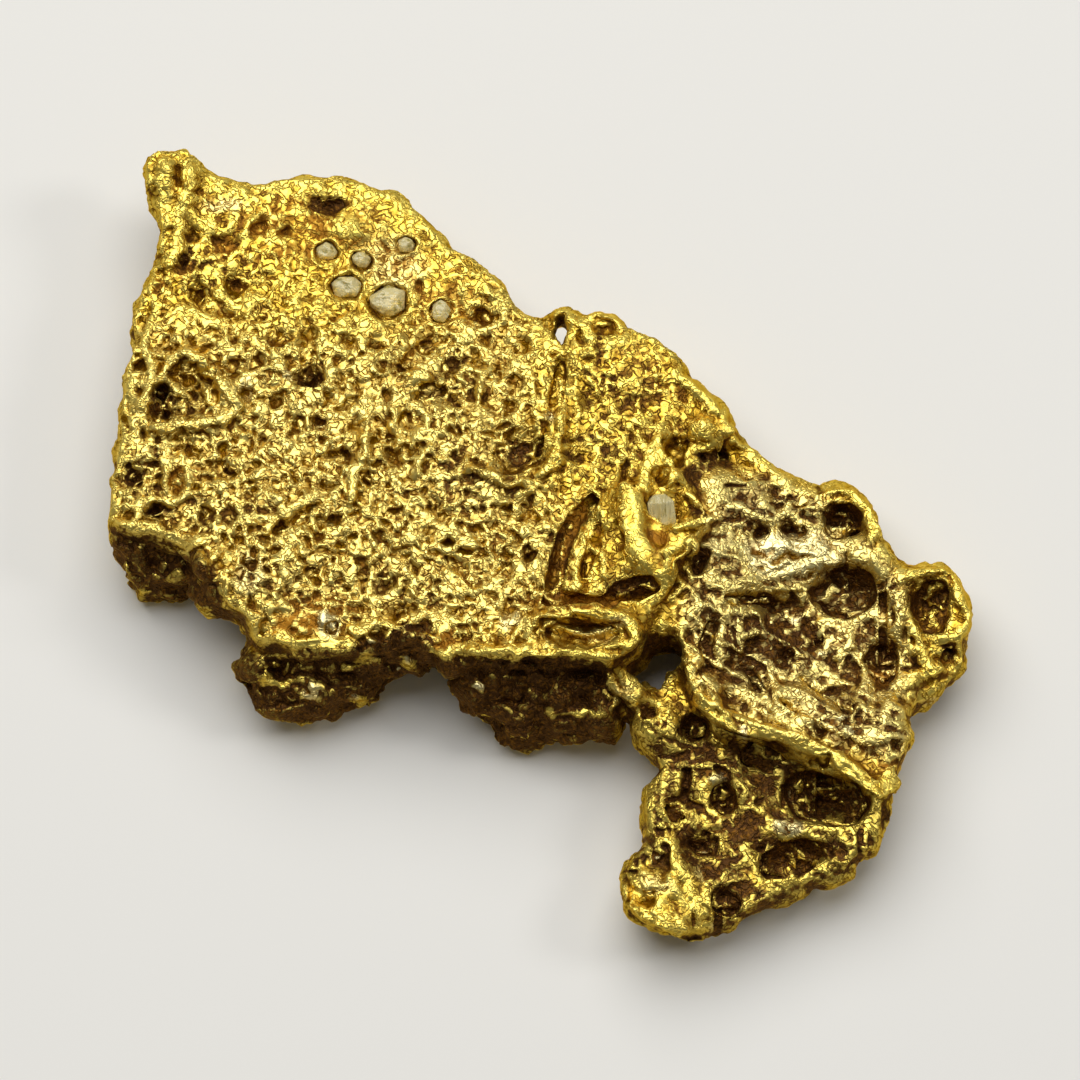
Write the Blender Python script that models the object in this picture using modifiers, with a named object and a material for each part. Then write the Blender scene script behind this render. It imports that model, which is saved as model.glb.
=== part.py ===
"""Gold nugget: a flat, spongy piece of natural gold that lies on its own feet, with quartz set in its pits.

Places on the nugget are (u, v) in millimetres, as they are seen from the display angle: u runs to the right
and v up the slope that is seen square on. Heights are millimetres above the floor.
"""

import math
import random

import bmesh
import bpy
import numpy as np
from mathutils import Matrix, Vector

MM = 0.001

# Driving dimensions, in millimetres unless they say otherwise
DISPLAY_ANGLE = math.radians(70.0)
HEIGHT_SHIFT = math.cos(DISPLAY_ANGLE)
SLOPE_SCALE = math.sin(DISPLAY_ANGLE)
ORIGIN_SHIFT = (0.02, 1.15)
PLATE_VOXEL = 0.32
BODY_VOXEL = 0.18
CUT_VOXEL = 0.15
SKIN_VOXEL = 0.15
EDGE_ROUND = 0.45
EDGE_GROWTH = 0.14
GOLD_TRIANGLES = 8400
QUARTZ_GAP = 0.09
SEED = 7

# How far below the upper face each plate's outline is widest
SHEET_DROP = 0.2
WING_DROP = 0.8
TAIL_DROP = 1.4
LUMP_DROP = 1.6
PLATE_HALF = 1.0
START_HEIGHT = 4.0
FACE_ROUNDS = 4
FACE_SOFTNESS = 1.0

# How finely round shapes are cut into faces, and how each skin is relaxed: (factor, rounds)
BALL_SIDES = 20
PIT_SIDES = 14
BEVEL_STEPS = 2
PATH_STEPS = 4
WELD_GAP = 0.01
BODY_RELAX = (0.5, 3)
SKIN_RELAX = (0.4, 1)

# Outlines of the sheets and of the dark lumps under their edge, clockwise from the upper left
SHEET_OUTLINE = [
    (-16.0, 15.2), (-15.6, 15.7), (-15.0, 15.8), (-14.4, 15.7), (-13.7, 15.1), (-12.9, 14.7), (-12.6, 14.4),
    (-11.9, 14.4), (-10.0, 14.6), (-9.4, 14.9), (-7.8, 14.6), (-6.8, 14.4), (-6.3, 14.1), (-5.4, 13.7),
    (-4.4, 12.9), (-3.9, 12.0), (-2.8, 11.4), (-2.0, 10.6), (-1.6, 10.4), (-0.9, 9.3), (-0.5, 8.8),
    (0.3, 8.8), (0.5, 9.3), (1.1, 9.4), (1.5, 9.0), (2.1, 9.3), (2.7, 9.2), (3.4, 8.7), (4.4, 8.1),
    (5.4, 7.7), (6.0, 6.7), (7.0, 5.8), (7.5, 5.4), (7.8, 4.4), (7.2, 3.6), (6.4, 3.2), (6.0, 2.2),
    (6.9, 0.8), (6.1, -0.3),
    (5.2, -1.9), (4.3, -2.9), (4.1, -4.2), (2.8, -4.8), (1.0, -4.6), (-1.6, -4.5), (-2.8, -4.5), (-3.7, -4.8),
    (-4.4, -4.0), (-6.4, -4.2), (-8.0, -4.4), (-10.0, -4.3), (-11.4, -3.7), (-11.8, -2.7), (-13.1, -1.8),
    (-13.4, -0.5), (-15.2, 0.0), (-17.0, 0.3), (-17.2, 1.2), (-17.1, 2.6), (-16.8, 4.2), (-16.7, 6.4),
    (-16.3, 8.0), (-16.4, 9.0), (-15.9, 10.3), (-15.1, 11.8), (-15.2, 12.4), (-15.7, 14.0),
]
WING_OUTLINE = [
    (6.4, 4.2), (7.8, 4.4), (8.3, 3.7), (9.8, 2.4), (11.3, 1.9), (11.9, 2.2), (12.7, 1.9), (13.4, 1.0),
    (13.5, 0.0), (14.1, -0.8), (14.9, -1.3), (15.5, -1.1), (16.2, -1.1), (16.8, -1.5), (17.2, -2.8),
    (17.0, -3.9), (17.0, -4.5), (16.6, -5.6), (15.7, -6.4), (14.5, -6.9), (14.6, -8.0), (14.3, -9.1),
    (13.9, -9.8), (13.3, -10.0), (12.0, -9.3), (10.4, -8.8), (8.9, -8.0), (7.4, -7.9), (6.3, -7.0),
    (5.9, -5.8), (5.6, -4.6), (4.9, -3.9), (4.2, -4.2), (4.2, -2.4), (5.8, -0.8), (6.2, 2.0),
]
TAIL_OUTLINE = [
    (4.4, -5.9), (3.6, -6.8), (3.7, -7.8), (4.0, -8.4), (4.9, -9.0), (5.4, -9.4), (4.6, -9.9), (4.1, -10.5),
    (4.1, -11.4), (4.5, -12.5), (3.5, -13.2), (3.2, -14.0), (3.4, -14.8), (4.2, -15.4), (5.6, -15.8),
    (6.8, -15.7), (7.8, -15.2), (9.2, -14.6), (10.6, -14.0), (12.0, -13.3), (13.1, -12.5), (13.6, -11.8),
    (14.0, -10.6), (13.8, -9.2), (12.4, -7.6), (9.0, -6.4), (6.4, -5.6),
]
LEFT_LUMP_OUTLINE = [
    (-16.8, 0.6), (-13.4, 0.6), (-13.1, -1.4), (-13.4, -1.9), (-13.8, -2.2), (-14.6, -2.1), (-15.4, -2.3),
    (-15.9, -2.4), (-16.5, -2.0), (-16.8, -1.2),
]
MIDDLE_LUMP_OUTLINE = [
    (-11.5, -3.0), (-4.4, -3.0), (-4.1, -4.6), (-4.8, -4.7), (-5.6, -5.1), (-6.5, -5.5), (-7.2, -5.9),
    (-6.6, -6.3), (-6.8, -6.8), (-8.4, -6.9), (-9.4, -7.2), (-10.2, -7.2), (-10.8, -6.8), (-11.3, -6.2),
    (-11.7, -5.2),
]
RIGHT_LUMP_OUTLINE = [
    (-3.8, -3.6), (3.4, -3.6), (3.4, -5.4), (3.2, -6.8), (3.1, -8.0), (2.3, -8.2), (1.5, -7.8), (0.3, -7.8),
    (-0.6, -8.3), (-1.5, -8.2), (-2.2, -7.4), (-2.9, -6.8), (-3.1, -6.1), (-3.6, -5.4), (-4.4, -4.7),
]

# Heights of their upper and under faces: (u, v, height)
SHEET_TOP = [
    (-15.0, 15.2, 4.5), (-13.5, 12.4, 4.3), (-8.0, 13.8, 4.1), (-16.5, 3.6, 4.6), (-9.6, 5.6, 5.0),
    (-11.6, -0.8, 5.3), (-3.6, 1.6, 5.2), (-2.4, 9.6, 4.2), (0.4, 3.2, 4.8), (3.2, 6.4, 4.8), (7.0, 5.0, 4.2),
    (4.0, 0.0, 5.4), (2.0, -3.6, 5.3), (-8.0, -4.0, 4.9), (-16.0, 0.8, 4.5),
]
SHEET_UNDER = [
    (-15.0, 15.2, 3.0), (-16.6, 8.0, 2.5), (-16.8, 3.0, 2.4), (-10.0, 14.2, 2.2), (-4.0, 12.4, 2.2),
    (0.0, 9.0, 2.6), (5.0, 8.0, 2.7), (7.5, 5.0, 2.3), (-9.0, 6.0, 0.9), (-2.0, 3.0, 0.8), (3.0, 3.0, 1.0),
    (4.0, -3.0, 1.4), (-12.0, -2.0, 2.4), (-8.0, -4.0, 2.2), (-3.0, -4.0, 2.6), (-15.0, 0.6, 2.2),
]
WING_TOP = [
    (7.5, 3.6, 3.5), (9.6, 0.8, 3.6), (12.4, 1.6, 3.3), (13.4, -0.9, 3.7), (10.4, -3.2, 2.9),
    (8.4, -5.6, 3.0), (12.6, -4.4, 2.6), (16.2, -2.4, 3.2), (15.6, -5.6, 2.9), (13.6, -8.0, 3.9),
    (10.0, -8.0, 4.2), (6.4, -6.0, 4.4), (5.4, -3.6, 4.5), (6.2, 0.0, 4.4),
]
WING_UNDER = [
    (7.5, 4.0, 1.9), (12.4, 1.8, 1.6), (16.8, -2.6, 1.5), (15.6, -6.0, 1.3), (14.0, -9.6, 2.6),
    (10.2, -8.6, 2.4), (6.6, -7.0, 1.8), (10.0, -3.0, 0.7), (6.0, 0.0, 1.2),
]
TAIL_TOP = [
    (4.4, -7.0, 3.3), (7.4, -8.2, 2.7), (10.8, -10.3, 2.3), (13.2, -11.2, 2.7), (9.8, -12.5, 2.2),
    (7.0, -13.6, 2.5), (4.8, -13.8, 3.1), (6.4, -11.0, 2.6), (9.4, -7.0, 2.6),
]
TAIL_UNDER = [(4.4, -7.0, 1.4), (4.2, -14.6, 1.2), (12.8, -12.0, 1.2), (9.0, -10.6, 0.5), (6.8, -13.6, 0.6)]
LUMP_TOP = [(-15.2, 0.6, 3.6), (-15.4, -2.0, 2.3), (-8.0, -3.4, 3.6), (-9.0, -6.4, 2.4), (0.0, -4.0, 3.8),
            (0.0, -7.6, 2.6)]
LUMP_UNDER = [(-15.2, 0.6, 0.9), (-15.4, -2.0, 0.9), (-8.0, -3.4, 0.8), (-9.0, -6.4, 0.5), (0.0, -4.0, 1.0),
              (0.0, -7.6, 0.5)]

# Lumps, knobs and feet: (u, v, height of the middle, half width, half depth, half height)
SHEET_LUMPS = [
    (-14.6, 14.9, 4.3, 0.95, 0.9, 0.8), (-7.8, 12.6, 4.0, 0.9, 0.7, 0.55), (-5.0, 6.4, 4.9, 0.8, 0.6, 0.5),
    (6.5, 4.4, 4.0, 0.75, 0.7, 0.8), (-8.6, -3.4, 4.5, 1.2, 0.7, 0.8), (-12.0, -1.6, 4.7, 1.0, 0.9, 0.8),
    (-2.8, -4.0, 4.6, 1.2, 0.7, 0.8), (4.4, -0.9, 5.0, 1.2, 0.9, 0.7), (-16.0, 1.4, 3.9, 0.9, 0.9, 0.9),
]
EDGE_LUMPS = [
    (-16.0, -0.9, 2.0, 0.9, 1.0, 1.5), (-14.4, -1.3, 1.6, 1.0, 1.0, 1.4), (-15.4, -1.7, 1.1, 0.9, 0.8, 1.0),
    (-10.9, -4.7, 2.4, 0.9, 1.1, 1.6), (-10.6, -6.3, 1.4, 0.9, 0.9, 1.4), (-9.2, -6.4, 1.6, 0.9, 0.8, 1.3),
    (-7.6, -6.2, 1.5, 0.9, 0.7, 1.2), (-8.6, -5.0, 2.4, 1.4, 0.9, 1.4), (-6.4, -4.8, 2.4, 1.2, 0.8, 1.4),
    (-4.9, -4.3, 2.4, 0.8, 0.8, 1.5), (-2.2, -6.2, 2.0, 1.0, 1.3, 1.6), (-0.9, -7.2, 1.6, 1.1, 1.1, 1.5),
    (0.8, -6.6, 2.0, 1.2, 1.3, 1.6), (2.3, -6.9, 1.8, 0.9, 1.3, 1.6), (-0.2, -5.4, 2.9, 1.6, 0.9, 1.2),
]
WING_LUMPS = [
    (7.2, -0.2, 3.5, 0.9, 0.8, 0.8), (8.9, 1.2, 3.4, 1.0, 0.7, 0.6), (9.4, -0.6, 3.3, 1.4, 0.6, 0.6),
    (11.4, -0.9, 3.2, 1.2, 0.7, 0.7), (13.4, -0.85, 3.3, 0.8, 0.75, 0.9), (12.3, 1.2, 2.9, 1.1, 0.9, 0.8),
    (15.9, -2.4, 2.5, 1.2, 1.4, 1.1), (16.4, -4.8, 2.2, 0.8, 0.9, 1.0), (13.8, -9.7, 3.4, 0.6, 0.65, 0.9),
    (15.2, -5.9, 2.2, 0.9, 0.8, 0.9), (14.0, -7.6, 2.9, 0.9, 1.4, 1.2), (8.0, -3.2, 3.2, 1.1, 0.8, 0.7),
    (7.9, 0.9, 3.6, 0.6, 0.5, 0.5), (10.6, 0.9, 3.3, 0.6, 0.5, 0.5), (9.6, -1.4, 3.2, 0.8, 0.4, 0.5),
    (7.8, -1.0, 3.4, 0.7, 0.6, 0.5), (10.8, -0.4, 3.2, 0.6, 0.5, 0.5), (8.2, 2.2, 3.5, 0.6, 0.5, 0.4),
    (10.8, -6.2, 2.8, 1.3, 0.8, 0.6), (6.9, 2.2, 3.6, 0.9, 0.9, 0.7), (11.8, -4.2, 2.6, 0.9, 0.9, 0.6),
]
TAIL_LUMPS = [
    (4.6, -13.9, 2.4, 1.3, 1.0, 1.0), (5.8, -14.8, 1.9, 1.2, 0.8, 0.9), (4.6, -7.4, 2.7, 1.0, 1.1, 0.9),
    (4.9, -11.2, 2.2, 0.9, 1.1, 1.0), (12.9, -11.8, 2.0, 0.8, 0.9, 0.9), (9.0, -14.0, 1.6, 1.5, 0.7, 0.9),
    (11.4, -13.2, 1.7, 1.2, 0.7, 0.9), (7.2, -15.0, 1.6, 0.9, 0.7, 0.8),
]
FEET = [
    (-12.4, 10.2, 1.5, 2.4, 2.2, 1.67), (-15.2, -1.4, 0.9, 1.5, 1.2, 1.07), (-4.6, 8.6, 1.4, 2.6, 2.0, 1.57),
    (-9.6, -5.4, 1.0, 1.8, 1.3, 1.17), (-10.4, 2.8, 1.2, 2.4, 2.6, 1.36), (0.4, -6.2, 1.0, 2.2, 1.4, 1.17),
    (4.2, 5.2, 1.4, 2.2, 2.0, 1.56), (0.2, 0.6, 1.1, 2.8, 2.2, 1.27), (11.2, -1.4, 1.0, 2.4, 1.7, 1.16),
    (15.4, -3.8, 1.0, 1.3, 1.6, 1.17), (12.2, -8.4, 1.0, 2.0, 1.4, 1.16), (6.2, -14.2, 0.8, 2.0, 1.2, 0.97),
    (5.6, -8.0, 0.9, 1.6, 1.4, 1.07), (10.4, -12.6, 0.8, 2.2, 1.0, 0.97),
]

# Ridges: half width, lift over the face below, then the places they run through
SHEET_RIDGES = [
    (0.30, 0.10, [(-15.6, 14.0), (-15.8, 15.1), (-15.1, 15.6), (-14.3, 15.4), (-14.0, 14.4), (-14.3, 13.2)]),
    (0.24, 0.05, [(-14.9, 13.4), (-15.1, 12.1), (-14.7, 11.2), (-15.6, 10.0)]),
    (0.26, 0.05, [(-16.0, 5.4), (-15.6, 7.0), (-14.6, 7.8), (-13.3, 7.1), (-12.4, 5.8), (-12.9, 4.7),
                  (-14.4, 4.4), (-15.8, 4.5)]),
    (0.26, 0.15, [(-6.9, 4.5), (-7.0, 3.5), (-7.3, 2.5), (-7.6, 1.4)]),
    (0.26, 0.20, [(-2.9, 2.8), (-1.7, 2.4), (-0.4, 2.4), (0.4, 3.1), (0.6, 4.1), (0.4, 5.0)]),
    (0.24, 0.15, [(1.5, 7.6), (1.3, 6.4), (1.2, 5.0), (0.9, 3.6), (0.6, 2.6)]),
    (0.30, 0.10, [(5.6, 6.5), (6.2, 5.9), (7.2, 5.1), (7.4, 4.1)]),
    (0.30, 0.10, [(4.7, 4.1), (4.8, 3.4), (5.5, 2.4)]),
    (0.55, 0.10, [(3.6, 2.2), (3.5, 0.9), (3.9, -0.3), (4.6, -1.2)]),
    (0.46, 0.10, [(6.2, -0.1), (5.6, -0.3), (5.0, -0.6), (4.7, -1.4)]),
    (0.24, 0.30, [(4.9, 0.35), (5.7, 0.55), (6.4, 0.75), (7.0, 0.9)]),
    (0.28, 0.30, [(-0.3, -3.4), (0.4, -2.9), (1.6, -2.8), (2.9, -2.9), (3.7, -3.4), (3.9, -4.1)]),
    (0.28, 0.20, [(-3.0, -4.4), (-1.6, -4.5), (0.0, -4.5), (1.6, -4.5), (2.9, -4.6), (3.8, -4.1)]),
    (0.22, 0.05, [(-16.8, 0.6), (-15.4, 0.4), (-13.6, 0.1), (-13.2, -1.2), (-12.0, -2.4), (-11.2, -3.4)]),
    (0.22, 0.05, [(-10.6, -3.9), (-8.6, -4.2), (-6.4, -3.9), (-4.4, -3.7), (-3.6, -4.6)]),
]
WING_RIDGES = [
    (0.34, 0.25, [(11.1, 1.5), (11.9, 2.0), (12.7, 1.7), (13.3, 0.9), (13.4, 0.0)]),
    (0.34, 0.25, [(14.4, -1.6), (15.4, -1.3), (16.4, -1.5), (16.9, -2.6), (16.7, -3.8), (15.6, -4.2),
                  (14.6, -3.6), (14.3, -2.4), (14.4, -1.6)]),
    (0.24, 0.10, [(14.3, -3.3), (15.3, -4.0), (15.7, -5.2), (14.7, -5.6), (14.0, -6.1)]),
    (0.36, 0.30, [(5.9, -4.9), (6.2, -5.8), (6.9, -6.8), (8.1, -7.5), (9.8, -7.8), (11.8, -8.7), (13.0, -9.7),
                  (13.8, -10.1)]),
    (0.26, 0.15, [(8.7, -4.5), (9.0, -5.6), (9.7, -6.5)]),
    (0.26, 0.15, [(9.9, -5.8), (11.1, -6.7), (12.5, -7.5)]),
    (0.24, 0.15, [(7.9, -5.8), (9.2, -6.8), (11.0, -7.3)]),
    (0.26, 0.20, [(12.0, -3.9), (12.8, -4.8), (13.1, -6.0), (12.7, -6.9)]),
    (0.24, 0.15, [(13.6, -3.8), (14.4, -3.6), (15.2, -4.3)]),
    (0.24, 0.15, [(7.4, -4.6), (8.4, -3.6), (9.4, -3.9), (10.4, -4.9)]),
    (0.26, 0.20, [(7.2, -1.7), (9.1, -1.7), (10.4, -2.2), (11.4, -2.6)]),
    (0.26, 0.05, [(7.1, -2.2), (7.6, -3.2), (7.2, -4.3), (6.3, -4.8)]),
]
TAIL_RIDGES = [
    (0.26, 0.10, [(4.4, -11.0), (5.2, -12.3), (6.1, -14.4), (6.4, -14.9)]),
    (0.24, 0.10, [(8.3, -12.7), (7.1, -13.6), (6.4, -14.7)]),
    (0.26, 0.15, [(7.6, -9.4), (8.4, -10.3), (8.8, -11.4), (10.4, -11.7), (12.6, -11.7)]),
    (0.26, 0.10, [(7.4, -15.0), (8.8, -14.0), (10.4, -13.4), (12.2, -12.7), (13.2, -11.8)]),
    (0.22, 0.05, [(4.3, -10.4), (5.4, -9.9), (6.7, -9.2), (7.6, -9.6)]),
    (0.26, 0.05, [(3.5, -14.4), (4.8, -15.2), (5.9, -15.5)]),
]
STRAND = (0.24, [(0.5, 9.1), (0.9, 9.2), (1.5, 8.8), (2.2, 8.0)], 4.6)
STRUT = (0.55, [(2.4, -4.4), (3.0, -5.4), (3.9, -6.4)], 3.6)

# Pits cut from above: (u, v, half width, half depth, turn in degrees, how deep)
SHEET_PITS = [
    (-14.7, 14.8, 0.24, 0.45, 0, 0.5), (-12.8, 11.9, 0.52, 0.46, 0, 0.45), (-11.3, 12.6, 0.42, 0.44, 0, 0.4),
    (-10.2, 12.5, 0.38, 0.38, 0, 0.4), (-14.0, 12.3, 0.30, 0.30, 0, 0.35), (-14.4, 11.2, 0.30, 0.38, 0, 0.5),
    (-12.3, 10.3, 0.55, 0.55, 0, 0.6), (-13.8, 9.9, 0.50, 0.44, 0, 0.45), (-11.3, 9.0, 0.40, 0.40, 0, 0.4),
    (-15.3, 10.6, 0.28, 0.42, 20, 0.4), (-8.5, 13.6, 0.95, 0.46, 10, 0.5), (-2.4, 9.0, 0.60, 0.38, 0, 0.6),
    (-4.6, 7.8, 0.50, 0.42, 0, 0.5), (-5.4, 7.0, 0.36, 0.36, 0, 0.4), (-3.5, 7.0, 0.42, 0.38, 0, 0.4),
    (-9.1, 6.4, 0.60, 0.45, 0, 0.8), (-9.9, 4.6, 0.38, 0.30, 0, 0.5), (-8.8, 4.7, 0.40, 0.36, 0, 0.5),
    (-15.2, 6.0, 0.48, 0.48, 0, 0.9), (-15.2, 5.1, 0.48, 0.40, 0, 0.7), (-13.6, 5.6, 0.90, 0.70, 0, 0.4),
    (-16.3, 2.5, 0.60, 0.46, 0, 0.5), (-15.4, 1.3, 0.60, 0.34, 0, 0.6), (-13.4, 1.1, 0.36, 0.36, 0, 0.6),
    (-9.9, 0.8, 1.10, 0.34, 25, 0.6), (-8.4, 2.0, 0.30, 0.32, 0, 0.4), (-0.4, -0.4, 0.32, 0.50, 0, 0.5),
    (-3.3, 4.4, 0.34, 0.34, 0, 0.4), (-2.0, 4.4, 0.30, 0.30, 0, 0.4), (-5.0, 4.9, 0.34, 0.34, 0, 0.4),
    (-5.8, 3.2, 0.40, 0.36, 0, 0.4), (-4.5, 3.0, 0.36, 0.36, 0, 0.4), (-0.8, 3.6, 1.0, 0.85, 15, 0.75),
    (2.6, 8.5, 0.65, 0.35, 0, 0.5), (1.7, -3.65, 1.75, 0.50, -2, 0.9), (2.9, 0.2, 0.50, 0.95, 15, 0.3),
    (3.8, -1.9, 1.15, 0.50, 10, 1.2), (-6.0, 12.0, 0.5, 0.4, 0, 0.4), (-10.0, 6.6, 0.40, 0.34, 0, 0.35),
    (-11.6, 6.1, 0.32, 0.50, 0, 0.45), (-9.2, 9.9, 0.42, 0.32, 0, 0.4), (3.5, 2.5, 0.34, 0.34, 0, 0.5),
    (5.3, 1.35, 1.20, 0.80, 0, 0.9), (5.4, 3.6, 0.60, 0.70, 20, 0.9), (-13.5, 7.9, 0.5, 0.4, 0, 0.35),
    (2.2, 5.6, 0.5, 0.4, 0, 0.35), (4.0, 5.6, 0.5, 0.4, 20, 0.35), (4.4, 7.0, 0.4, 0.35, 0, 0.35),
    (1.6, 3.4, 0.4, 0.5, 0, 0.35),
]
WING_PITS = [
    (7.2, 3.5, 0.45, 0.35, 0, 0.5), (8.9, 0.35, 0.45, 0.35, 0, 0.7), (10.0, 0.5, 0.45, 0.35, 0, 0.7),
    (6.3, -0.9, 0.34, 0.55, 0, 0.7), (12.1, 0.8, 0.85, 0.80, 0, 1.1), (12.1, -2.0, 1.45, 1.10, 0, 1.3),
    (15.7, -2.6, 0.90, 1.20, 0, 1.1), (16.4, -4.7, 0.42, 0.55, 0, 0.5), (13.6, -5.0, 0.70, 1.05, 0, 0.9),
    (11.1, -4.0, 0.32, 0.32, 0, 0.6), (9.8, -4.6, 0.40, 0.36, 0, 0.5), (11.4, -8.7, 0.6, 0.3, -20, 0.5),
    (8.4, -4.2, 0.6, 0.5, 0, 0.4), (10.4, -6.7, 1.0, 0.3, -32, 0.4), (7.6, -6.2, 0.5, 0.35, -40, 0.5),
    (10.4, 1.6, 0.4, 0.35, 0, 0.4), (8.2, 2.6, 0.45, 0.4, 0, 0.5),
]
TAIL_PITS = [
    (11.4, -10.3, 1.90, 1.15, -18, 1.1), (7.3, -10.3, 0.60, 0.72, 0, 0.9), (10.0, -12.7, 1.45, 0.80, 18, 1.0),
    (7.4, -14.3, 0.62, 0.72, 20, 0.7), (6.5, -12.0, 0.74, 0.60, 0, 0.8), (6.1, -7.5, 0.70, 0.55, 0, 0.9),
    (4.4, -6.9, 0.42, 0.42, 0, 0.5), (5.3, -10.9, 0.5, 0.42, 0, 0.6), (8.6, -8.8, 0.8, 0.35, -25, 0.7),
    (4.8, -8.2, 0.5, 0.4, 0, 0.4),
]
# The crevice beside the cup and along the ledge: half width, how deep, then the places it runs through
CREVICES = [
    (0.34, 0.95, [(2.3, 1.7), (1.5, 1.2), (0.9, 0.0), (0.5, -1.9)]),
    (0.32, 0.90, [(0.0, -2.4), (1.5, -2.3), (3.0, -2.6)]),
    (0.24, 0.60, [(0.9, 7.2), (0.7, 6.0), (0.4, 4.9), (0.25, 3.2)]),
    (0.28, 0.60, [(1.9, 1.0), (2.2, 0.2), (2.0, -0.9), (1.6, -1.6)]),
    (0.28, 0.60, [(5.9, 4.0), (5.4, 2.8), (4.6, 2.3)]),
]
# Furrows of the wing, and the dark slot under the fold
WING_CREVICES = [
    (0.26, 0.55, [(7.2, -2.4), (8.4, -2.4), (9.7, -2.7)]),
    (0.24, 0.50, [(8.3, -5.2), (8.9, -6.2), (10.0, -6.9), (11.4, -7.8)]),
    (0.24, 0.45, [(10.4, -5.4), (11.6, -6.2), (12.6, -7.0)]),
    (0.30, 0.70, [(7.0, -3.3), (6.4, -4.2), (6.8, -5.4)]),
]
FOLD_SLOT = (0.42, 2.9, [(8.2, -8.3), (10.0, -8.9), (11.8, -9.7), (13.0, -10.6)])
# Holes right through: (u, v, half width, half depth, turn in degrees)
HOLES = [(5.1, -4.8, 0.72, 0.50, 10), (4.65, -5.6, 0.40, 0.80, 0), (12.65, 0.15, 0.34, 0.22, 0),
         (0.85, 7.8, 0.26, 0.85, -6), (3.45, -7.6, 0.20, 1.15, -4)]

# Small pits scattered over the spongy part of the sheet, and lumps under the middle of the sheets
SPONGE_OUTLINE = [
    (-16.2, 7.5), (-12.0, 9.5), (-7.0, 9.0), (-3.0, 9.8), (-0.6, 8.0), (-0.8, 5.2), (-3.0, 2.2), (-0.6, 1.6),
    (0.0, -2.0), (-3.0, -3.8), (-8.0, -3.6), (-11.0, -2.6), (-13.0, 0.2), (-16.2, 2.0),
]
SPONGE_PITS = 130
SPONGE_SPACING = 1.05
SPONGE_SIZE = (0.26, 0.46)
SPONGE_LENGTH = (0.8, 1.9)
SPONGE_DEPTH = 1.3
SHEET_INNER = [(-14.0, 12.0), (-8.0, 12.4), (-3.0, 9.0), (3.0, 7.0), (6.0, 3.0), (3.0, -3.0), (-3.0, -3.0),
               (-11.0, -1.0), (-15.0, 2.0)]
WING_INNER = [(8.0, 1.0), (12.0, 0.0), (14.6, -4.0), (12.6, -7.4), (8.0, -6.0), (7.4, -8.6), (12.4, -11.6),
              (7.6, -13.4), (5.6, -12.6), (6.0, -4.0)]
UNDER_LUMPS = 34
UNDER_SPACING = 1.9
UNDER_LUMP_MIDDLE = (1.1, 1.9)
UNDER_LUMP_SIZE = (0.8, 1.6)
UNDER_LUMP_LENGTH = (0.7, 1.2)
UNDER_LUMP_HEIGHT = 1.0
UNDER_PITS = 50
UNDER_PIT_SIZE = (0.5, 0.9)
UNDER_PIT_LENGTH = (0.6, 1.1)
UNDER_PIT_DEPTH = 0.8
UNDER_PIT_LEVEL = 1.0
UNDER_PIT_SHARE = 0.5
SCATTER_TRIES = 6000
CREVICE_MOUTH = -0.05
HOLE_HEIGHT = 2.6
HOLE_REACH = 12.0
FLOOR_BLOCK = 60.0
UNEVEN_SIZE = 1.1
UNEVEN_HEIGHT = 0.36

# Quartz: the striated crystal, then the glassy grains (u, v, half width, half depth, half height)
CRYSTAL_PLACE = (4.85, 1.1)
CRYSTAL_SIZE = (0.62, 0.54, 1.5)
CRYSTAL_LEAN = (62.0, 8.0)
CRYSTAL_SUNK = 0.45
CRYSTAL_SIDES = 6
CRYSTAL_RINGS = [(0.45, -0.5), (1.0, -0.32), (1.0, 0.30), (0.42, 0.5)]
GRAIN_CORNERS = 20
GRAIN_TURN = 0.3
GRAIN_REACH = (0.86, 1.0)
GRAIN_SUNK = 0.55
GRAIN_PIT = 0.35
GRAIN_PIT_GROWTH = 1.25
GOLDEN_ANGLE = math.pi * (3.0 - math.sqrt(5.0))
GRAINS = [
    (-8.6, 11.6, 0.50, 0.46, 0.42), (-7.2, 11.3, 0.44, 0.40, 0.38), (-7.8, 10.2, 0.72, 0.56, 0.45),
    (-6.1, 9.6, 0.88, 0.74, 0.50), (-4.0, 9.2, 0.44, 0.56, 0.42), (-5.4, 11.9, 0.42, 0.38, 0.36),
]

# Colour, roughness and metallic share of the two materials
GOLD_FINISH = ((0.75, 0.50, 0.13), 0.35, 1.0)
QUARTZ_FINISH = ((0.80, 0.83, 0.76), 0.15, 0.0)


def height_field(controls):
    """The height of a face through a few (u, v, height) points, where nearer ones weigh more."""
    places = np.array([seen_to_floor(u, v, z) for u, v, z in controls])
    heights = np.array([z for _, _, z in controls])

    def height(x, y):
        gap = (np.asarray(x)[..., None] - places[:, 0]) ** 2 + (np.asarray(y)[..., None] - places[:, 1]) ** 2
        weight = (gap + FACE_SOFTNESS) ** -2
        return (weight * heights).sum(-1) / weight.sum(-1)

    return height


def seen_to_floor(u, v, z):
    """The place over the floor of a point at height z that is seen at (u, v)."""
    return u, (v - z * HEIGHT_SHIFT) / SLOPE_SCALE


def on_face(face, u, v, lift=0.0):
    """The point of a height field that is seen at (u, v), lifted by a little."""
    z = START_HEIGHT
    for _ in range(FACE_ROUNDS):
        x, y = seen_to_floor(u, v, z)
        z = float(face(x, y)) + lift
    return Vector((x, y, z))


def collection(name):
    """A new collection in the scene."""
    group = bpy.data.collections.new(name)
    bpy.context.scene.collection.children.link(group)
    return group


def add_mesh(name, mesh, group):
    """An object that shows a mesh, in a collection."""
    item = bpy.data.objects.new(name, mesh)
    group.objects.link(item)
    return item


def evaluated_mesh(item):
    """The object's mesh with its modifiers applied."""
    bpy.context.view_layer.update()
    graph = bpy.context.evaluated_depsgraph_get()
    return bpy.data.meshes.new_from_object(item.evaluated_get(graph))


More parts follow.
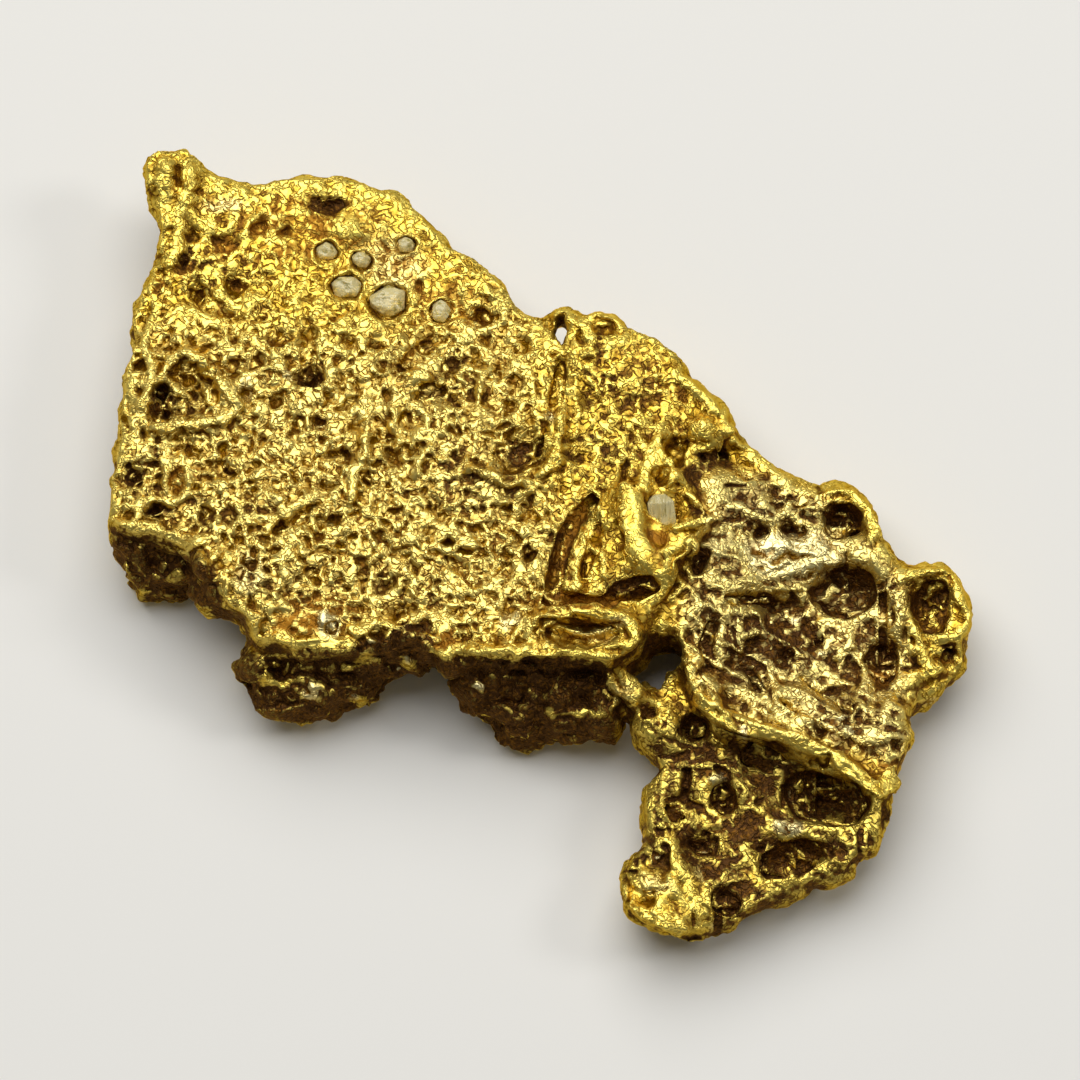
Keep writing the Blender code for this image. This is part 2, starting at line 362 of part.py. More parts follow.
def apply_modifiers(item):
    """The object's modifiers made part of its mesh."""
    mesh = evaluated_mesh(item)
    item.modifiers.clear()
    item.data = mesh


def curve_to_mesh(item, group):
    """A curve object made a mesh with its caps welded."""
    mesh = evaluated_mesh(item)
    welder = bmesh.new()
    welder.from_mesh(mesh)
    bmesh.ops.remove_doubles(welder, verts=welder.verts, dist=WELD_GAP * MM)
    bmesh.ops.recalc_face_normals(welder, faces=welder.faces)
    welder.to_mesh(mesh)
    welder.free()
    made = add_mesh(item.name + "_mesh", mesh, group)
    made.matrix_world = item.matrix_world.copy()
    bpy.data.objects.remove(item)
    return made


def join(name, items, group):
    """Several meshes gathered in one object, in world places."""
    gathered = bmesh.new()
    for item in items:
        copy = item.data.copy()
        copy.transform(item.matrix_world)
        gathered.from_mesh(copy)
        bpy.data.meshes.remove(copy)
        bpy.data.objects.remove(item)
    mesh = bpy.data.meshes.new(name)
    gathered.to_mesh(mesh)
    gathered.free()
    return add_mesh(name, mesh, group)


def fuse(item, voxel):
    """Overlapping bodies made one skin by a voxel remesh."""
    remesh = item.modifiers.new("Fuse", "REMESH")
    remesh.mode = "VOXEL"
    remesh.voxel_size = voxel * MM
    remesh.adaptivity = 0.0


def smooth(item, amount):
    """The skin relaxed by a factor, over a number of rounds."""
    relax = item.modifiers.new("Relax", "SMOOTH")
    relax.factor, relax.iterations = amount


def plate(name, outline, top, under, drop, group):
    """A filled and thickened outline with round edges, whose two faces then follow their height fields.

    The outline is seen where its edge is widest, which lies a drop below the upper face.
    """
    curve = bpy.data.curves.new(name, "CURVE")
    curve.dimensions = "2D"
    curve.fill_mode = "BOTH"
    curve.extrude = (PLATE_HALF - EDGE_ROUND) * MM
    curve.bevel_depth = EDGE_ROUND * MM
    curve.bevel_resolution = BEVEL_STEPS
    curve.offset = (EDGE_GROWTH - EDGE_ROUND) * MM
    spline = curve.splines.new("POLY")
    spline.points.add(len(outline) - 1)
    spline.use_cyclic_u = True
    for point, (u, v) in zip(spline.points, outline):
        place = on_face(top, u, v, lift=-drop)
        point.co = (place.x * MM, place.y * MM, 0.0, 1.0)
    item = bpy.data.objects.new(name, curve)
    group.objects.link(item)
    item = curve_to_mesh(item, group)
    fuse(item, PLATE_VOXEL)
    apply_modifiers(item)
    points = np.empty(len(item.data.vertices) * 3, np.float32)
    item.data.vertices.foreach_get("co", points)
    points = points.reshape(-1, 3) / MM
    share = (points[:, 2] + PLATE_HALF) / (2.0 * PLATE_HALF)
    high = top(points[:, 0], points[:, 1])
    low = under(points[:, 0], points[:, 1])
    points[:, 2] = low + (high - low) * share
    item.data.vertices.foreach_set("co", (points * MM).ravel())
    return item


def ball(name, place, size, group, turn=0.0, segments=BALL_SIDES):
    """A stretched sphere at a place, in millimetres."""
    mesh = bpy.data.meshes.new(name)
    shape = bmesh.new()
    bmesh.ops.create_uvsphere(shape, u_segments=segments, v_segments=segments // 2, radius=MM)
    shape.to_mesh(mesh)
    shape.free()
    mesh.transform(Matrix.Diagonal((*size, 1.0)))
    mesh.transform(Matrix.Rotation(math.radians(turn), 4, "Z"))
    mesh.transform(Matrix.Translation(Vector(place) * MM))
    return add_mesh(name, mesh, group)


def tube(name, points, radius, group):
    """A round bar through points, in millimetres, with its ends closed."""
    curve = bpy.data.curves.new(name, "CURVE")
    curve.dimensions = "3D"
    curve.bevel_depth = radius * MM
    curve.bevel_resolution = BEVEL_STEPS
    curve.use_fill_caps = True
    curve.resolution_u = PATH_STEPS
    spline = curve.splines.new("NURBS")
    spline.points.add(len(points) - 1)
    spline.order_u = 3
    spline.use_endpoint_u = True
    for point, place in zip(spline.points, points):
        point.co = (*(Vector(place) * MM), 1.0)
    item = bpy.data.objects.new(name, curve)
    group.objects.link(item)
    return curve_to_mesh(item, group)


def ridges(name, rows, face, group):
    """Round ridges that follow a face."""
    made = []
    for number, (radius, lift, path) in enumerate(rows):
        points = [on_face(face, u, v, lift) for u, v in path]
        made.append(tube(f"{name}_{number}", points, radius, group))
    return made


def lumps(name, rows, group):
    """Stretched balls at their places over the floor."""
    made = []
    for number, (u, v, z, wide, deep, high) in enumerate(rows):
        x, y = seen_to_floor(u, v, z)
        made.append(ball(f"{name}_{number}", (x, y, z), (wide, deep, high), group))
    return made


def pits(name, rows, face, group):
    """Stretched balls set into a face, each as deep as its row says."""
    made = []
    for number, (u, v, wide, deep, turn, low) in enumerate(rows):
        place = on_face(face, u, v)
        made.append(ball(f"{name}_{number}", place, (wide, deep, low), group, turn, PIT_SIDES))
    return made


def inside(outline, u, v):
    """Whether a place lies inside a closed outline."""
    crossings = 0
    for (u0, v0), (u1, v1) in zip(outline, outline[1:] + outline[:1]):
        if (v0 > v) != (v1 > v) and u < u0 + (v - v0) / (v1 - v0) * (u1 - u0):
            crossings += 1
    return crossings % 2 == 1


def scattered(outline, count, spacing, chance, taken=()):
    """Seeded places inside an outline, each kept clear of the others and of the places already taken."""
    low_u, high_u = min(u for u, _ in outline), max(u for u, _ in outline)
    low_v, high_v = min(v for _, v in outline), max(v for _, v in outline)
    places = []
    for _ in range(SCATTER_TRIES):
        u, v = chance.uniform(low_u, high_u), chance.uniform(low_v, high_v)
        near = min((math.hypot(u - a, v - b) for a, b in [*places, *taken]), default=spacing)
        if near >= spacing and inside(outline, u, v):
            places.append((u, v))
        if len(places) == count:
            break
    return places


def under_lumps(outlines, group):
    """Uneven lumps along the underside, some of which reach the floor."""
    chance = random.Random(SEED)
    rows = []
    for outline in outlines:
        for u, v in scattered(outline, UNDER_LUMPS, UNDER_SPACING, chance):
            size = chance.uniform(*UNDER_LUMP_SIZE)
            middle = chance.uniform(*UNDER_LUMP_MIDDLE)
            rows.append((u, v, middle, size, size * chance.uniform(*UNDER_LUMP_LENGTH), UNDER_LUMP_HEIGHT))
    return lumps("under_lump", rows, group)


def build_body(group, faces):
    """Sheets, lumps, feet and ridges, fused to one skin."""
    sheet_top, wing_top, tail_top, lump_top = faces
    sheet_under = height_field(SHEET_UNDER)
    lump_under = height_field(LUMP_UNDER)
    pieces = [
        plate("sheet", SHEET_OUTLINE, sheet_top, sheet_under, SHEET_DROP, group),
        plate("wing", WING_OUTLINE, wing_top, height_field(WING_UNDER), WING_DROP, group),
        plate("tail", TAIL_OUTLINE, tail_top, height_field(TAIL_UNDER), TAIL_DROP, group),
        plate("left_lump", LEFT_LUMP_OUTLINE, lump_top, lump_under, LUMP_DROP, group),
        plate("middle_lump", MIDDLE_LUMP_OUTLINE, lump_top, lump_under, LUMP_DROP, group),
        plate("right_lump", RIGHT_LUMP_OUTLINE, lump_top, lump_under, LUMP_DROP, group),
    ]
    for name, rows in (("sheet_lump", SHEET_LUMPS), ("edge_lump", EDGE_LUMPS), ("wing_lump", WING_LUMPS),
                       ("tail_lump", TAIL_LUMPS), ("foot", FEET)):
        pieces += lumps(name, rows, group)
    pieces += under_lumps((SHEET_INNER, WING_INNER), group)
    pieces += ridges("sheet_ridge", SHEET_RIDGES, sheet_top, group)
    pieces += ridges("wing_ridge", WING_RIDGES, wing_top, group)
    pieces += ridges("tail_ridge", TAIL_RIDGES, tail_top, group)
    for name, (radius, path, z) in (("strand", STRAND), ("strut", STRUT)):
        pieces.append(tube(name, [(*seen_to_floor(u, v, z), z) for u, v in path], radius, group))
    body = join("gold_nugget", pieces, group)
    fuse(body, BODY_VOXEL)
    smooth(body, BODY_RELAX)
    apply_modifiers(body)
    return body


def sponge_rows():
    """Small pits scattered between the larger ones of the spongy sheet."""
    chance = random.Random(SEED)
    taken = [row[:2] for row in SHEET_PITS]
    rows = []
    for u, v in scattered(SPONGE_OUTLINE, SPONGE_PITS, SPONGE_SPACING, chance, taken):
        size = chance.uniform(*SPONGE_SIZE)
        length = size * chance.uniform(*SPONGE_LENGTH)
        rows.append((u, v, size, length, chance.uniform(0.0, 180.0), size * SPONGE_DEPTH))
    return rows


def build_cuts(group, faces):
    """Everything that is taken out of the body: pits, crevices and holes."""
    sheet_top, wing_top, tail_top, _ = faces
    cuts = pits("sheet_pit", SHEET_PITS, sheet_top, group)
    grain_pits = [(u, v, wide * GRAIN_PIT_GROWTH, deep * GRAIN_PIT_GROWTH, 0.0, GRAIN_PIT)
                  for u, v, wide, deep, _ in GRAINS]
    cuts += pits("grain_pit", grain_pits, sheet_top, group)
    cuts += pits("sponge_pit", sponge_rows(), sheet_top, group)
    cuts += pits("wing_pit", WING_PITS, wing_top, group)
    cuts += pits("tail_pit", TAIL_PITS, tail_top, group)
    chance = random.Random(SEED + 1)
    under = height_field(SHEET_UNDER)
    for u, v in scattered(SHEET_OUTLINE + WING_OUTLINE, UNDER_PITS, UNDER_SPACING, chance):
        wide = chance.uniform(*UNDER_PIT_SIZE)
        x, y = seen_to_floor(u, v, UNDER_PIT_LEVEL)
        place = (x, y, UNDER_PIT_SHARE * float(under(x, y)))
        deep = wide * chance.uniform(*UNDER_PIT_LENGTH)
        cuts.append(ball("under_pit", place, (wide, deep, wide * UNDER_PIT_DEPTH), group))
    for face, rows in ((sheet_top, CREVICES), (wing_top, WING_CREVICES)):
        for radius, deep, path in rows:
            for lift in (CREVICE_MOUTH, radius - deep):
                points = [on_face(face, u, v, lift) for u, v in path]
                cuts.append(tube("crevice", points, radius, group))
    radius, height, path = FOLD_SLOT
    cuts.append(tube("fold_slot", [(*seen_to_floor(u, v, height), height) for u, v in path], radius, group))
    for number, (u, v, wide, deep, turn) in enumerate(HOLES):
        x, y = seen_to_floor(u, v, HOLE_HEIGHT)
        cuts.append(ball(f"hole_{number}", (x, y, HOLE_HEIGHT), (wide, deep, HOLE_REACH), group, turn))
    cut = join("pits", cuts, group)
    fuse(cut, CUT_VOXEL)
    apply_modifiers(cut)
    return cut


def cut_away(item, cutter, name):
    """The cutter's shape taken out of the item; the cutter stays as a hidden guide."""
    boolean = item.modifiers.new(name, "BOOLEAN")
    boolean.operation = "DIFFERENCE"
    boolean.solver = "EXACT"
    boolean.object = cutter
    cutter.hide_render = True
    cutter.display_type = "WIRE"


def roughen(item):
    """A slight natural unevenness over the whole skin."""
    cloud = bpy.data.textures.new("unevenness", "CLOUDS")
    cloud.noise_scale = UNEVEN_SIZE * MM
    cloud.noise_depth = 2
    uneven = item.modifiers.new("Unevenness", "DISPLACE")
    uneven.texture = cloud
    uneven.strength = UNEVEN_HEIGHT * MM
    uneven.mid_level = 0.5


def thin_out(item, triangles):
    """Fewer triangles, kept where the surface turns."""
    item.data.calc_loop_triangles()
    reduce = item.modifiers.new("Reduce", "DECIMATE")
    reduce.decimate_type = "COLLAPSE"
    reduce.ratio = triangles / len(item.data.loop_triangles)
    reduce.use_collapse_triangulate = True


def floor_box(group):
    """A block under the floor, which cuts the feet flat."""
    mesh = bpy.data.meshes.new("floor_cut")
    shape = bmesh.new()
    bmesh.ops.create_cube(shape, size=FLOOR_BLOCK * MM)
    shape.to_mesh(mesh)
    shape.free()
    mesh.transform(Matrix.Translation((0.0, 0.0, -FLOOR_BLOCK / 2.0 * MM)))
    return add_mesh("floor_cut", mesh, group)


def crystal(name, grow, face, group):
    """A stubby six-sided prism with blunt six-sided points, leaning in its socket."""
    wide, deep, length = (size + grow for size in CRYSTAL_SIZE)
    shape = bmesh.new()
    rings = []
    for share, height in CRYSTAL_RINGS:
        ring = bmesh.ops.create_circle(shape, segments=CRYSTAL_SIDES, radius=share * MM)["verts"]
        for corner in ring:
            corner.co.z = height * length * MM
        rings.append(ring)
    for lower, upper in zip(rings, rings[1:]):
        for side in range(CRYSTAL_SIDES):
            after = (side + 1) % CRYSTAL_SIDES
            shape.faces.new((lower[side], lower[after], upper[after], upper[side]))
    shape.faces.new(reversed(rings[0]))
    shape.faces.new(rings[-1])
    bmesh.ops.recalc_face_normals(shape, faces=shape.faces)
    mesh = bpy.data.meshes.new(name)
    shape.to_mesh(mesh)
    shape.free()
    tilt, turn = CRYSTAL_LEAN
    mesh.transform(Matrix.Diagonal((wide, deep, 1.0, 1.0)))
    mesh.transform(Matrix.Rotation(math.radians(-tilt), 4, "X"))
    mesh.transform(Matrix.Rotation(math.radians(turn), 4, "Z"))
    mesh.transform(Matrix.Translation(on_face(face, *CRYSTAL_PLACE, lift=-CRYSTAL_SUNK) * MM))
    return add_mesh(name, mesh, group)


def grain(name, row, grow, seed, face, group):
    """A glassy grain: the hull of a few seeded points near a stretched ball."""
    u, v, *size = row
    chance = random.Random(seed)
    shape = bmesh.new()
    for number in range(GRAIN_CORNERS):
        level = 1.0 - 2.0 * (number + 0.5) / GRAIN_CORNERS
        around = number * GOLDEN_ANGLE + chance.uniform(-GRAIN_TURN, GRAIN_TURN)
        reach = chance.uniform(*GRAIN_REACH)
        ring = math.sqrt(1.0 - level * level)
        corner = Vector((ring * math.cos(around), ring * math.sin(around), level)) * reach
        shape.verts.new([(half + grow) * MM * part for half, part in zip(size, corner)])
    hull = bmesh.ops.convex_hull(shape, input=shape.verts)
    bmesh.ops.delete(shape, geom=[g for g in hull["geom_interior"] if isinstance(g, bmesh.types.BMVert)],
                     context="VERTS")
    bmesh.ops.recalc_face_normals(shape, faces=shape.faces)
    mesh = bpy.data.meshes.new(name)
    shape.to_mesh(mesh)
    shape.free()
    mesh.transform(Matrix.Translation(on_face(face, u, v, lift=-GRAIN_SUNK * size[2]) * MM))
    return add_mesh(name, mesh, group)


def set_quartz(body, nugget, cutters, sheet_top):
    """The crystal and the grains, each in a socket that is a little larger than itself."""
    sockets = [crystal("crystal_socket", QUARTZ_GAP, sheet_top, cutters)]
    quartz = [crystal("quartz_crystal", 0.0, sheet_top, nugget)]
    for number, row in enumerate(GRAINS, start=1):
        sockets.append(grain(f"grain_socket_{number}", row, QUARTZ_GAP, SEED + number, sheet_top, cutters))
        quartz.append(grain(f"quartz_grain_{number}", row, 0.0, SEED + number, sheet_top, nugget))
    cut_away(body, join("sockets", sockets, cutters), "Sockets")
    return quartz


def paint(items, name, finish):
    """One material for several objects."""
    colour, roughness, metallic = finish
    material = bpy.data.materials.new(name)
    material.use_nodes = True
    shader = material.node_tree.nodes["Principled BSDF"]
    shader.inputs["Base Color"].default_value = (*colour, 1.0)
    shader.inputs["Roughness"].default_value = roughness
    shader.inputs["Metallic"].default_value = metallic
    for item in items:
        item.data.materials.clear()
        item.data.materials.append(material)


def main():
    """The whole nugget, from the fused body to its quartz."""
    for item in list(bpy.data.objects):
        bpy.data.objects.remove(item)
    nugget = collection("gold nugget")
    cutters = collection("cutters")
    faces = [height_field(rows) for rows in (SHEET_TOP, WING_TOP, TAIL_TOP, LUMP_TOP)]
    body = build_body(nugget, faces)
    cut_away(body, build_cuts(cutters, faces), "Pits")
    apply_modifiers(body)
    fuse(body, SKIN_VOXEL)
    smooth(body, SKIN_RELAX)
    apply_modifiers(body)
    roughen(body)
    apply_modifiers(body)
    thin_out(body, GOLD_TRIANGLES)
    apply_modifiers(body)
    quartz = set_quartz(body, nugget, cutters, faces[0])
    cut_away(body, floor_box(cutters), "Feet")
    apply_modifiers(body)
    for item in [body, *quartz]:
        item.data.transform(Matrix.Translation((*(Vector(ORIGIN_SHIFT) * MM), 0.0)))
    paint([body], "natural gold", GOLD_FINISH)
    paint(quartz, "quartz", QUARTZ_FINISH)


main()
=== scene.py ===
"""Gold nugget: a flat, spongy piece of natural gold with quartz set in its pits, on a pale floor.

Places on the nugget are (u, v) in millimetres, as they are seen from the display angle: u runs to the right
and v up the slope that is seen square on. Every form that is worked into the skin has such a place, and it is
carved along the line of sight, so it stays where it is seen.
"""

import math

import bmesh
import bpy
import numpy as np
from mathutils import Matrix, Vector


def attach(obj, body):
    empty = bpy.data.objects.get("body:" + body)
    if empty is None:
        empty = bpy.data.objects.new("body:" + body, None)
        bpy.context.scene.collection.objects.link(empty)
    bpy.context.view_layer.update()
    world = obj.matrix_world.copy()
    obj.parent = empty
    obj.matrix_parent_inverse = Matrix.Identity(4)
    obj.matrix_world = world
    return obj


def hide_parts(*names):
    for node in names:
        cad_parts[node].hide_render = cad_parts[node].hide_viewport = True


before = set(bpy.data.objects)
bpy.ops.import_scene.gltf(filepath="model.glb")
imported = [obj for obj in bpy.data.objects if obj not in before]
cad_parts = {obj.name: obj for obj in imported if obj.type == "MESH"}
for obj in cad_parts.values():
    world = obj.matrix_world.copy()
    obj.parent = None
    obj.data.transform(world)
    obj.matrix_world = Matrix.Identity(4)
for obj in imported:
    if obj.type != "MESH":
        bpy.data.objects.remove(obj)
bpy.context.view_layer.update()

bl_info = {
    "name": "Gold nugget",
    "version": (1, 0, 0),
    "blender": (4, 5, 0),
    "location": "View3D > Sidebar > Nugget",
    "description": "A spongy natural gold nugget with quartz in its pits",
    "category": "Add Mesh",
}

MM = 0.001

# How a point of the nugget is seen from the display angle
DISPLAY_ANGLE = math.radians(70.0)
HEIGHT_SHIFT = math.cos(DISPLAY_ANGLE)
SLOPE_SCALE = math.sin(DISPLAY_ANGLE)
ORIGIN_SHIFT = (0.02, 1.15)
TOWARDS_EYE = np.array((0.0, -HEIGHT_SHIFT, SLOPE_SCALE))

# The map of the skin's relief: its lower left corner, its step and its cells, in millimetres
MAP_LOW = (-18.4, -17.2)
MAP_STEP = 0.04
MAP_CELLS = (930, 870)

# How the skin is made: its voxels, how it is relaxed as (factor, rounds), the rounds that even out its upper
# face and the dark lumps, how many triangles it keeps, the share of theirs that its sides keep, and the
# rounds of smoothing against which its hollows are measured
SKIN_VOXEL = 0.08
SKIN_RELAX = (0.5, 10)
TOP_ROUNDS = 45
LUMP_ROUNDS = 200
SKIN_TRIANGLES = 196000
SIDE_SHARE = 0.25
HOLLOW_ROUNDS = 18

# The layers of the relief: the size of each one's cells and how high it stands, in millimetres
NODULES = (0.36, 0.11)
SWELLS = (0.9, 0.05)
GRIT = (0.3, 0.03)
HOLES = (0.44, 0.13)
ROPES = (0.9, 0.15)
THIN_ROPES = 0.58
RUBBLE_PLATES = (0.9, 1.1)
TAIL_PLATES = (1.15, 1.7)
SMALL_PLATES = (0.55, 0.35)
LUMP_PLATES = (0.9, 0.9)
LUMP_NODULES = (0.7, 0.20)
STRANDS = (0.85, 0.24)
PIT_NODULES = (0.38, 0.20)
PIT_PLATES = (0.5, 0.10)
SIDE_CLOUDS = (1.1, 0.15)
SIDE_GRIT = (0.45, 0.06)
SIDE_WORMS = (0.55, 0.05)
SIDE_KNOBS = (1.7, 0.45)

# The strands are swept aside, turned in degrees and drawn out along their run
STRAND_SWEEP = (2.4, 0.55)
STRAND_TURN = -24.0
STRAND_STRETCH = 0.36

# How much wider the ridges stand, how high the relief may reach and how far it is softened at the end
RIDGE_SPREAD = 1.2
HIGHEST = 0.55
LAST_BLUR = 0.02

SEED = 7

# The quartz: how crisp the edges are, how see-through it is and how its steps are drawn out
CRYSTAL_EDGE = 40.0
QUARTZ_IOR = 1.544
STRIATED = (0.5, (6.0, 0.8, 0.8))
CLEAR = (0.42, (2.6, 3.2, 2.6))
STEP_DEPTH = 0.14
QUARTZ_NODES = ["quartz_crystal"] + [f"quartz_grain_{number}" for number in range(1, 7)]

# The stage: the lights as (name, place, size, share of the power), and the camera, its lens in millimetres
FLOOR_HALF = 0.9
FLOOR_ROUGHNESS = 0.9
WORLD_COLOUR = "8C8C8C"
WORLD_STRENGTH = 0.45
LIGHTS = (("key", (-0.06, 0.20, 0.42), 0.62, 1.0), ("fill", (0.35, 0.02, 0.30), 0.12, 0.12))
CAMERA_TARGET = (0.02, -0.31, 4.0)
CAMERA_LENS = 400.0
CAMERA_SENSOR = 36.0
VIEW_WIDTH = 43.2
CLIPPING = (0.01, 10.0)

# In the lists of ovals a row may have its turn in degrees before its last number.

